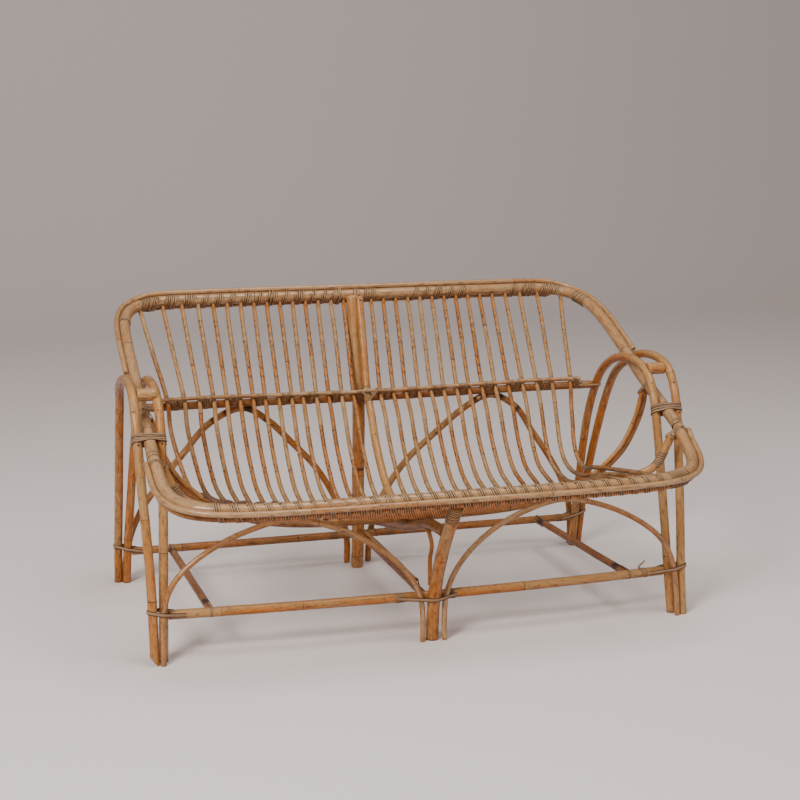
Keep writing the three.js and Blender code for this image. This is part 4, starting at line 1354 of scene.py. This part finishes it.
@dataclass
class MidRailBinding:
    """A few turns round the mid rail and its face cane beside every slat, left and right by turns."""

    peel: float = 3.0 * MM
    peel_thickness: float = 1.1 * MM
    turns: float = 3.2
    pitch: float = 4.2 * MM
    beside: float = 8.5 * MM
    slant: float = 0.22

    def build(self, shop: Workshop) -> None:
        """Winds the groups."""
        rail = shop.axes["mid_rail"]
        cane = shop.axes["mid_rail_face_cane"]
        bundle = Bundle([rail, cane], self.peel_thickness)
        strands = []
        for k, (side, _) in enumerate(SIDES):
            for i in range(1, SLATS_PER_SIDE + 1):
                slat = shop.axes[f"slat_{side}_{i:02d}"]
                guess = rail.at(rail.nearest(slat.at(slat.length * 0.3)))
                run = rail.nearest(slat.at(slat.nearest(guess)))
                sign = 1 if i % 2 else -1
                start = run + sign * self.beside
                strands.append(bundle.coil(rail, start, self.turns, sign * self.pitch, UP,
                                           900 + 20 * k + i, tilt=sign * self.slant, tone=0.2))
        shop.peel("mid_rail_binding", strands, self.peel / bundle.thickness)


@dataclass
class Lashes:
    """Peel wound round the arm hoops and the rims, and round the top of the centre leg."""

    peel: float = 4.4 * MM
    peel_thickness: float = 1.9 * MM
    turns: int = 5
    slope: float = -0.72
    leg_peel: float = 5.2 * MM
    leg_pitch: float = 5.8 * MM
    leg_turns: int = 8

    def build(self, shop: Workshop) -> None:
        """Lays the lashes and the winding, which stand for the frame's wound nodes."""
        pitch = self.peel * 1.14
        reach = 50 * MM
        start = reach - pitch * self.turns / 2
        for k, (side, _) in enumerate(SIDES):
            middle = box_middle(f"arm_lash_{side}")
            spine = Axis(np.linspace(middle - UP * reach, middle + UP * reach, 21), 1 * MM)
            bundle = Bundle([*shop.hoops(side), shop.axes["upper_rim"]], self.peel_thickness)
            strands = [
                *bundle.group(spine, start, self.turns, pitch, FORWARD, 140 + 10 * k, self.slope, 0.1, 44),
                bundle.coil(spine, start + 2 * MM, 1.3, pitch * 1.5, FORWARD, 44 + k,
                            tilt=self.slope + 0.06, begin=0.3, per_turn=44, lift=1.2 * MM, tone=0.1),
            ]
            piece = shop.peel(f"arm_lash_{side}_peel", strands, self.peel / bundle.thickness, Finish.STRAP)
            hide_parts(f"arm_lash_{side}")
        leg = shop.axes["centre_front_leg"]
        bundle = Bundle([leg], self.peel_thickness)
        turns = bundle.group(leg, 3 * MM, self.leg_turns, self.leg_pitch, FORWARD, 41, 0.14)
        piece = shop.peel("leg_top_peel", turns, self.leg_peel / bundle.thickness)
        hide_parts("leg_top_winding")


@dataclass
class Ties:
    """Peel straps at the stretchers, the mid rail's ends and the bearers' arms, with their nails."""

    fine_peel: float = 3.2 * MM
    fine_thickness: float = 0.9 * MM
    broad_peel: float = 9.5 * MM
    broad_thickness: float = 3.2 * MM
    nail_radius: float = 2.0 * MM
    front_height: float = 0.104
    back_height: float = 0.088
    fine: list[Strand] = field(default_factory=list)
    broad: list[Strand] = field(default_factory=list)
    spots: list[tuple[np.ndarray, np.ndarray]] = field(default_factory=list)

    def build(self, shop: Workshop) -> None:
        """Lays all straps, then drives the nails."""
        for k, (side, sign) in enumerate(SIDES):
            self._legs_to_stretcher(shop, side, sign, True, 60 + k)
            self._legs_to_stretcher(shop, side, sign, False, 64 + k)
            self._side_stretcher_ends(shop, side, 68 + k)
            self._mid_rail_end(shop, side, sign, 72 + k)
            self._bearer_arm(shop, sign, 76 + k)
            self._corner(shop, side, sign, 80 + k)
        self._centre_leg(shop)
        self._back_stretcher(shop)
        self._loose_end(shop)
        self._mid_rail_centre(shop)
        self._slat_nails(shop)
        shop.peel("fine_ties", self.fine, self.fine_peel / self.fine_thickness)
        shop.peel("broad_ties", self.broad, self.broad_peel / self.broad_thickness, Finish.STRAP)
        shop.nails.driven("nail_heads", self.spots, self.nail_radius)

    @staticmethod
    def _pin(place: np.ndarray, along: np.ndarray, radius: float) -> Axis:
        """A short straight line that holds a strap away from the poles it passes."""
        reach = unit(along) * 50 * MM
        return Axis(np.linspace(place - reach, place + reach, 11), radius)

    def _nail(self, bundle: Bundle, origin: np.ndarray, normal: np.ndarray, face: np.ndarray,
              lift: float = 0.2 * MM) -> None:
        """Drives one nail where a bundle lies furthest in a direction.

        Args:
            bundle: the poles that the nail goes into.
            origin: a point of the plane across them.
            normal: the plane's normal.
            face: the direction.
            lift: how far the head's middle stands off the poles.
        """
        normal = unit(normal)
        face = unit(face - normal * float(face @ normal))
        self.spots.append((bundle.touch(origin, normal, face, lift), face))

    def _legs_to_stretcher(self, shop: Workshop, side: str, sign: int, front: bool, seed: int) -> None:
        """Lays a broad strap round both legs of an arm and nails its ends along the stretcher.

        Args:
            shop: the workshop.
            side: the arm's side.
            sign: -1 for the left side, 1 for the right.
            front: takes the front legs, not the back ones.
            seed: the seed of the strap's chances.
        """
        height, reach, begin = (self.front_height, 0.046, 0.17) if front else (self.back_height, 0.04, 0.04)
        hoops = shop.hoops(side)
        pole = shop.axes["front_stretcher" if front else "back_stretcher"]
        legs = [leg_at(hoop, height, front) for hoop in hoops]
        place = pole.at(pole.where(0, float(legs[0][0]) - sign * reach))
        members = [*hoops, self._pin(place, UP, pole.radius)]
        if front:
            members.append(shop.axes[f"front_arch_{side}"])
        bundle = Bundle(members, self.broad_thickness)
        origin = (legs[0] + legs[1]) / 2
        origin[2] = height + 0.012
        fall = place - origin
        level = unit(fall * np.array([1.0, 1.0, 0.0]))
        plane = UP - level * float(fall[2]) / float(fall @ level)
        self.broad.append(bundle.loop(origin, plane, FORWARD, -sign * begin, sign * 0.53, seed, 56,
                                      tone=0.1))
        solo = Bundle([pole], 1.3 * MM)
        for share in (0.35, 0.8):
            spot = place + np.array([sign * reach * share * 0.5, 0.0, 0.001 - 0.003 * share])
            self._nail(solo, spot, ACROSS, FORWARD, 0.9 * MM)

    def _side_stretcher_ends(self, shop: Workshop, side: str, seed: int) -> None:
        """Lays a peel from each end of a side stretcher round the stretcher that it meets."""
        pole = shop.axes[f"side_stretcher_{side}"]
        ends = sorted((pole.points[0], pole.points[-1]), key=lambda end: end[1])
        for k, (name, end, inward) in enumerate(zip(("front_stretcher", "back_stretcher"), ends, (1, -1))):
            back = np.array([0.0, inward * 0.03, 0.0])
            pin = self._pin(end + back, ACROSS, pole.radius)
            bundle = Bundle([shop.axes[name], pin], 2.2 * MM)
            self.broad.append(bundle.loop(end, ACROSS, FORWARD, 0.62, 1.58, seed * 7 + k, 46, 0.0, 0.1))
            self._nail(Bundle([pin]), end + back * 0.8, ACROSS, UP, 1.0 * MM)

    def _mid_rail_end(self, shop: Workshop, side: str, sign: int, seed: int) -> None:
        """Lays a peel from the mid rail's end round the back leg of the inner hoop."""
        inner, rail = shop.axes[f"arm_hoop_inner_{side}"], shop.axes["mid_rail"]
        end = max((rail.points[0], rail.points[-1]), key=lambda place: sign * place[0])
        leg = leg_at(inner, float(end[2]), False)
        pin = self._pin(rail.at(rail.where(0, sign * 0.56)), UP, rail.radius)
        bundle = Bundle([inner, pin], 3.0 * MM)
        self.broad.append(bundle.loop((leg + end) / 2, UP, FORWARD, -sign * 0.03, sign * 0.53, seed, 48,
                                      tone=-0.1))
        wraps = Bundle([rail], self.fine_thickness)
        self.fine.append(wraps.coil(rail, rail.where(0, sign * 0.566), 3.0, sign * 3.6 * MM, UP, seed + 30))

    def _bearer_arm(self, shop: Workshop, sign: int, seed: int) -> None:
        """Wraps the front bearer's arm and hangs both bearers from the rims above them."""
        arm, rim = shop.axes["front_seat_bearer"], shop.axes["front_rim"]
        low, high = arm.where(0, sign * 0.575), arm.where(0, sign * 0.613)
        step = 6.0 * MM * (1 if high > low else -1)
        solo = Bundle([arm], 1.6 * MM)
        self.broad.append(solo.coil(arm, low, 7.0, step, UP, seed, tilt=0.14))
        self._nail(solo, arm.at(low), arm.along(low), FORWARD)
        self._hanging(arm, rim, sign, seed + 20)
        self._hanging(shop.axes["rear_seat_bearer"], shop.axes["upper_rim"], sign, seed + 24)

    def _hanging(self, arm: Axis, rim: Axis, sign: int, seed: int) -> None:
        """Lays the turns that hang the end of a bearer's arm from the rim above it."""
        tip = max((arm.points[0], arm.points[-1]), key=lambda place: sign * place[0] + place[2])
        run = rim.nearest(tip)
        over, along = rim.at(run), rim.along(run)
        inset = 8 * MM if arm.nearest(tip) < 0.1 else -8 * MM
        inward = arm.at(arm.nearest(tip) + inset)
        pins = [self._pin(inward, along, arm.radius), self._pin(over, along, rim.radius)]
        bundle = Bundle(pins, self.fine_thickness)
        for k in range(3):
            origin = (inward + over) / 2 + along * (k - 1) * 3.8 * MM
            self.fine.append(bundle.loop(origin, along, UP, 0.1, 1.1, seed + k, 50, tone=0.1))
        self._nail(bundle, (inward + over) / 2, along, UP)

    def _corner(self, shop: Workshop, side: str, sign: int, seed: int) -> None:
        """Wraps the place where upper and front rim meet under the lash, and nails the lash."""
        rim, front = shop.axes["upper_rim"], shop.axes["front_rim"]
        tip = min((rim.points[0], rim.points[-1]), key=lambda place: abs(place[0] - sign * 0.64) + place[1])
        both = Bundle([rim, front], self.fine_thickness)
        run = rim.nearest(tip)
        inward = 1 if run < 0.1 else -1
        self.fine.append(both.coil(rim, run + inward * 1.5 * MM, 3.6, inward * 3.5 * MM, UP, seed,
                                   tone=0.1))
        middle = box_middle(f"arm_lash_{side}")
        for hoop in shop.hoops(side):
            leg = leg_at(hoop, float(middle[2]), True)
            for drop in (-0.006, 0.005):
                self._nail(Bundle([hoop], 1.1 * MM), leg + UP * drop, UP, FORWARD, 1.1 * MM)
        run = rim.nearest(middle)
        self._nail(Bundle([rim], 1.1 * MM), rim.at(run), rim.along(run), FORWARD, 1.2 * MM)

    def _centre_leg(self, shop: Workshop) -> None:
        """Lays a strap before the centre leg and wraps it on the front stretcher at both ends."""
        pole, leg = shop.axes["front_stretcher"], shop.axes["centre_front_leg"]
        solo = Bundle([pole], self.fine_thickness)
        pins = [self._pin(pole.at(pole.where(0, x)), UP, pole.radius) for x in (-0.075, 0.055)]
        height = float(pole.at(pole.where(0, 0.0))[2])
        origin = leg.at(leg.where(2, height))
        bundle = Bundle([leg, *pins], self.broad_thickness)
        self.broad.append(bundle.loop(origin, UP, FORWARD, -0.16, 0.16, 90, 30))
        for x, turns in ((-0.088, 5.0), (0.042, 4.0)):
            run = pole.where(0, x)
            step = 4.0 * MM * pole.rightward(run)
            self.fine.append(solo.coil(pole, run, turns, step, UP, 92 + int(x > 0), lift=1.3 * MM,
                                       tilt=0.12))
        for height in (0.07, 0.312):
            self._nail(Bundle([leg]), leg.at(leg.where(2, height)), UP, FORWARD)
        self._nail(bundle, origin, UP, FORWARD, 0.8 * MM)
        stretcher = shop.axes["centre_stretcher"]
        both = Bundle([stretcher, shop.axes["centre_stretcher_cane"]], self.fine_thickness)
        self.fine.append(both.coil(stretcher, stretcher.where(1, -0.15), 4.0, 4.2 * MM, UP, 95))

    def _loose_end(self, shop: Workshop) -> None:
        """Ties a knot on the right of the front stretcher, whose loose end curls up."""
        pole = shop.axes["front_stretcher"]
        run = pole.where(0, 0.55)
        step = 4.0 * MM * pole.rightward(run)
        knot = Bundle([pole], 1.2 * MM)
        self.fine.append(knot.coil(pole, run, 3.4, step, UP, 130, tilt=0.5, lift=0.8 * MM, tone=0.3))
        turn = np.linspace(0.0, 1.0, 15)
        curl = np.stack([-0.003 - 0.006 * np.sin(turn * 5.2), -0.004 - 0.006 * turn,
                         pole.radius + 0.024 * turn], axis=-1)
        face = np.tile(FORWARD, (len(turn), 1))
        self.fine.append(Strand(pole.at(run) + curl, np.full(len(turn), 0.6 * MM), np.zeros(len(turn)),
                                np.full(len(turn), 0.3), face))

    def _back_stretcher(self, shop: Workshop) -> None:
        """Wraps the back stretcher beside the middle post and near its right end."""
        pole = shop.axes["back_stretcher"]
        solo = Bundle([pole], self.fine_thickness)
        for k, (x, turns) in enumerate(((-0.086, 6.0), (0.038, 2.0), (0.072, 6.0), (0.572, 4.0))):
            self.fine.append(solo.coil(pole, pole.where(0, x), turns, 3.9 * MM, UP, 96 + k, tilt=0.1,
                                       tone=1.2))

    def _mid_rail_centre(self, shop: Workshop) -> None:
        """Crosses the loops that hold mid rail, face cane and seat pole together."""
        rail, pole = shop.axes["mid_rail"], shop.axes["centre_seat_pole"]
        bundle = Bundle([rail, pole, shop.axes["mid_rail_face_cane"]], 1.0 * MM)
        origin = rail.at(rail.where(0, 0.0))
        for k, (lean, offset) in enumerate(((1.0, 0.0), (1.0, 0.0045), (-1.0, 0.0), (-1.0, -0.0045))):
            normal = np.array([1.0, 0.0, lean])
            self.fine.append(bundle.loop(origin + ACROSS * offset, normal, UP, 0.1, 1.1, 110 + k, 60,
                                         0.4 * MM * (k % 2), -0.1))
        both = Bundle([rail, shop.axes["mid_rail_face_cane"]], self.fine_thickness)
        self.fine.append(both.coil(rail, rail.where(0, 0.032), 4.0, 3.6 * MM, UP, 116, tilt=0.1))

    def _slat_nails(self, shop: Workshop) -> None:
        """Nails the slats' front ends, the middle poles and the hoops."""
        rim = shop.axes["front_rim"]
        solo = Bundle([rim])
        for name in SLAT_NAMES:
            run = rim.nearest(shop.axes[name].points[-1])
            run += 5.4 * MM * rim.rightward(run)
            self._nail(solo, rim.at(run), rim.along(run), np.array([0.0, -0.5, 0.87]), 0.9 * MM)
        pole, post = shop.axes["centre_seat_pole"], shop.axes["centre_back_post"]
        for axis, height in ((pole, 0.722), (pole, 0.70), (pole, 0.39), (post, 0.37), (post, 0.33)):
            run = axis.where(2, height)
            self._nail(Bundle([axis]), axis.at(run), axis.along(run), FORWARD)
        for side, _ in SIDES:
            for hoop in shop.hoops(side):
                self._nail(Bundle([hoop]), leg_at(hoop, 0.56, True), UP, np.array([-0.4, -1.0, 0.0]))


@dataclass(frozen=True)
class Lamp:
    """A square soft light: where it hangs, how large it is and how strong."""

    name: str
    place: Triple
    aim: Triple
    size: float
    power: float

    def hang(self) -> None:
        """Hangs it, turned to its aim."""
        lamp = bpy.data.lights.new(self.name, "AREA")
        lamp.size = self.size
        lamp.energy = self.power
        lamp.color = (1.0, 0.975, 0.95)
        light = bpy.data.objects.new(self.name, lamp)
        light.location = self.place
        light.rotation_euler = (Vector(self.aim) - Vector(self.place)).to_track_quat("-Z", "Y").to_euler()
        bpy.context.scene.collection.objects.link(light)


@dataclass(frozen=True)
class Studio:
    """Floor, light and camera."""

    paper: Colour = linear(246, 236, 232)
    surround: Colour = linear(216, 208, 206)
    surround_strength: float = 0.31
    half_width: float = 14.0
    floor_front: float = -9.0
    floor_back: float = 5.0
    wall_radius: float = 2.5
    wall_height: float = 8.0
    lens: float = 72.70
    camera_place: Triple = (-1.11170, -3.70234, 1.25459)
    camera_tilt: float = 79.346
    camera_turn: float = -16.645
    lamps: tuple[Lamp, ...] = (
        Lamp("window_light", (-3.3, -3.4, 3.6), (0.0, 0.0, 0.4), 1.6, 235.0),
        Lamp("sky_light", (0.4, -0.9, 4.2), (0.0, 0.1, 0.4), 2.2, 95.0),
        Lamp("fill_light", (4.0, -2.6, 1.8), (0.0, 0.0, 0.4), 3.0, 24.0),
    )

    def build(self) -> None:
        """Sets them up."""
        self._floor()
        for lamp in self.lamps:
            lamp.hang()
        self._surround()
        self._camera()

    def _floor(self) -> None:
        """A plain pale floor that curves up far behind the sofa."""
        steps = 12
        profile = [(self.floor_front, 0.0), (self.floor_back, 0.0)]
        for k in range(1, steps + 1):
            angle = math.pi / 2 * k / steps
            profile.append((self.floor_back + self.wall_radius * math.sin(angle),
                            self.wall_radius - self.wall_radius * math.cos(angle)))
        profile.append((self.floor_back + self.wall_radius, self.wall_height))
        corners = [(x, y, z) for y, z in profile for x in (-self.half_width, self.half_width)]
        faces = [(2 * i, 2 * i + 1, 2 * i + 3, 2 * i + 2) for i in range(len(profile) - 1)]
        mesh = bpy.data.meshes.new("studio_floor")
        mesh.from_pydata(corners, [], faces)
        for polygon in mesh.polygons:
            polygon.use_smooth = True
        graph = ShaderGraph("studio_paper")
        graph.wire(graph.shader, {"Base Color": (*self.paper, 1.0), "Roughness": 0.9})
        mesh.materials.append(graph.material)
        floor = bpy.data.objects.new("studio_floor", mesh)
        bpy.context.scene.collection.objects.link(floor)

    def _surround(self) -> None:
        """A dim even surround."""
        world = bpy.data.worlds.new("studio_surround")
        bpy.context.scene.world = world
        world.use_nodes = True
        background = world.node_tree.nodes["Background"]
        background.inputs["Color"].default_value = (*self.surround, 1.0)
        background.inputs["Strength"].default_value = self.surround_strength

    def _camera(self) -> None:
        """The photograph's viewing angle."""
        lens = bpy.data.cameras.new("camera")
        lens.lens = self.lens
        lens.sensor_width = 36.0
        lens.sensor_fit = "HORIZONTAL"
        camera = bpy.data.objects.new("camera", lens)
        camera.location = self.camera_place
        camera.rotation_euler = (math.radians(self.camera_tilt), 0.0, math.radians(self.camera_turn))
        bpy.context.scene.collection.objects.link(camera)
        bpy.context.scene.camera = camera


def main() -> None:
    """Builds the dressed sofa and its studio."""
    logging.basicConfig(level=logging.INFO, format="%(name)s: %(message)s")
    shop = Workshop()
    for part in (Rims(), Arms(), Seat(), Props(), RailBinding(), FrontBinding(), MidRailBinding(), Lashes(),
                 Ties()):
        part.build(shop)
        LOG.info("%s finished", type(part).__name__)
    Studio().build()
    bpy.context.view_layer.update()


if __name__ == "__main__":
    main()
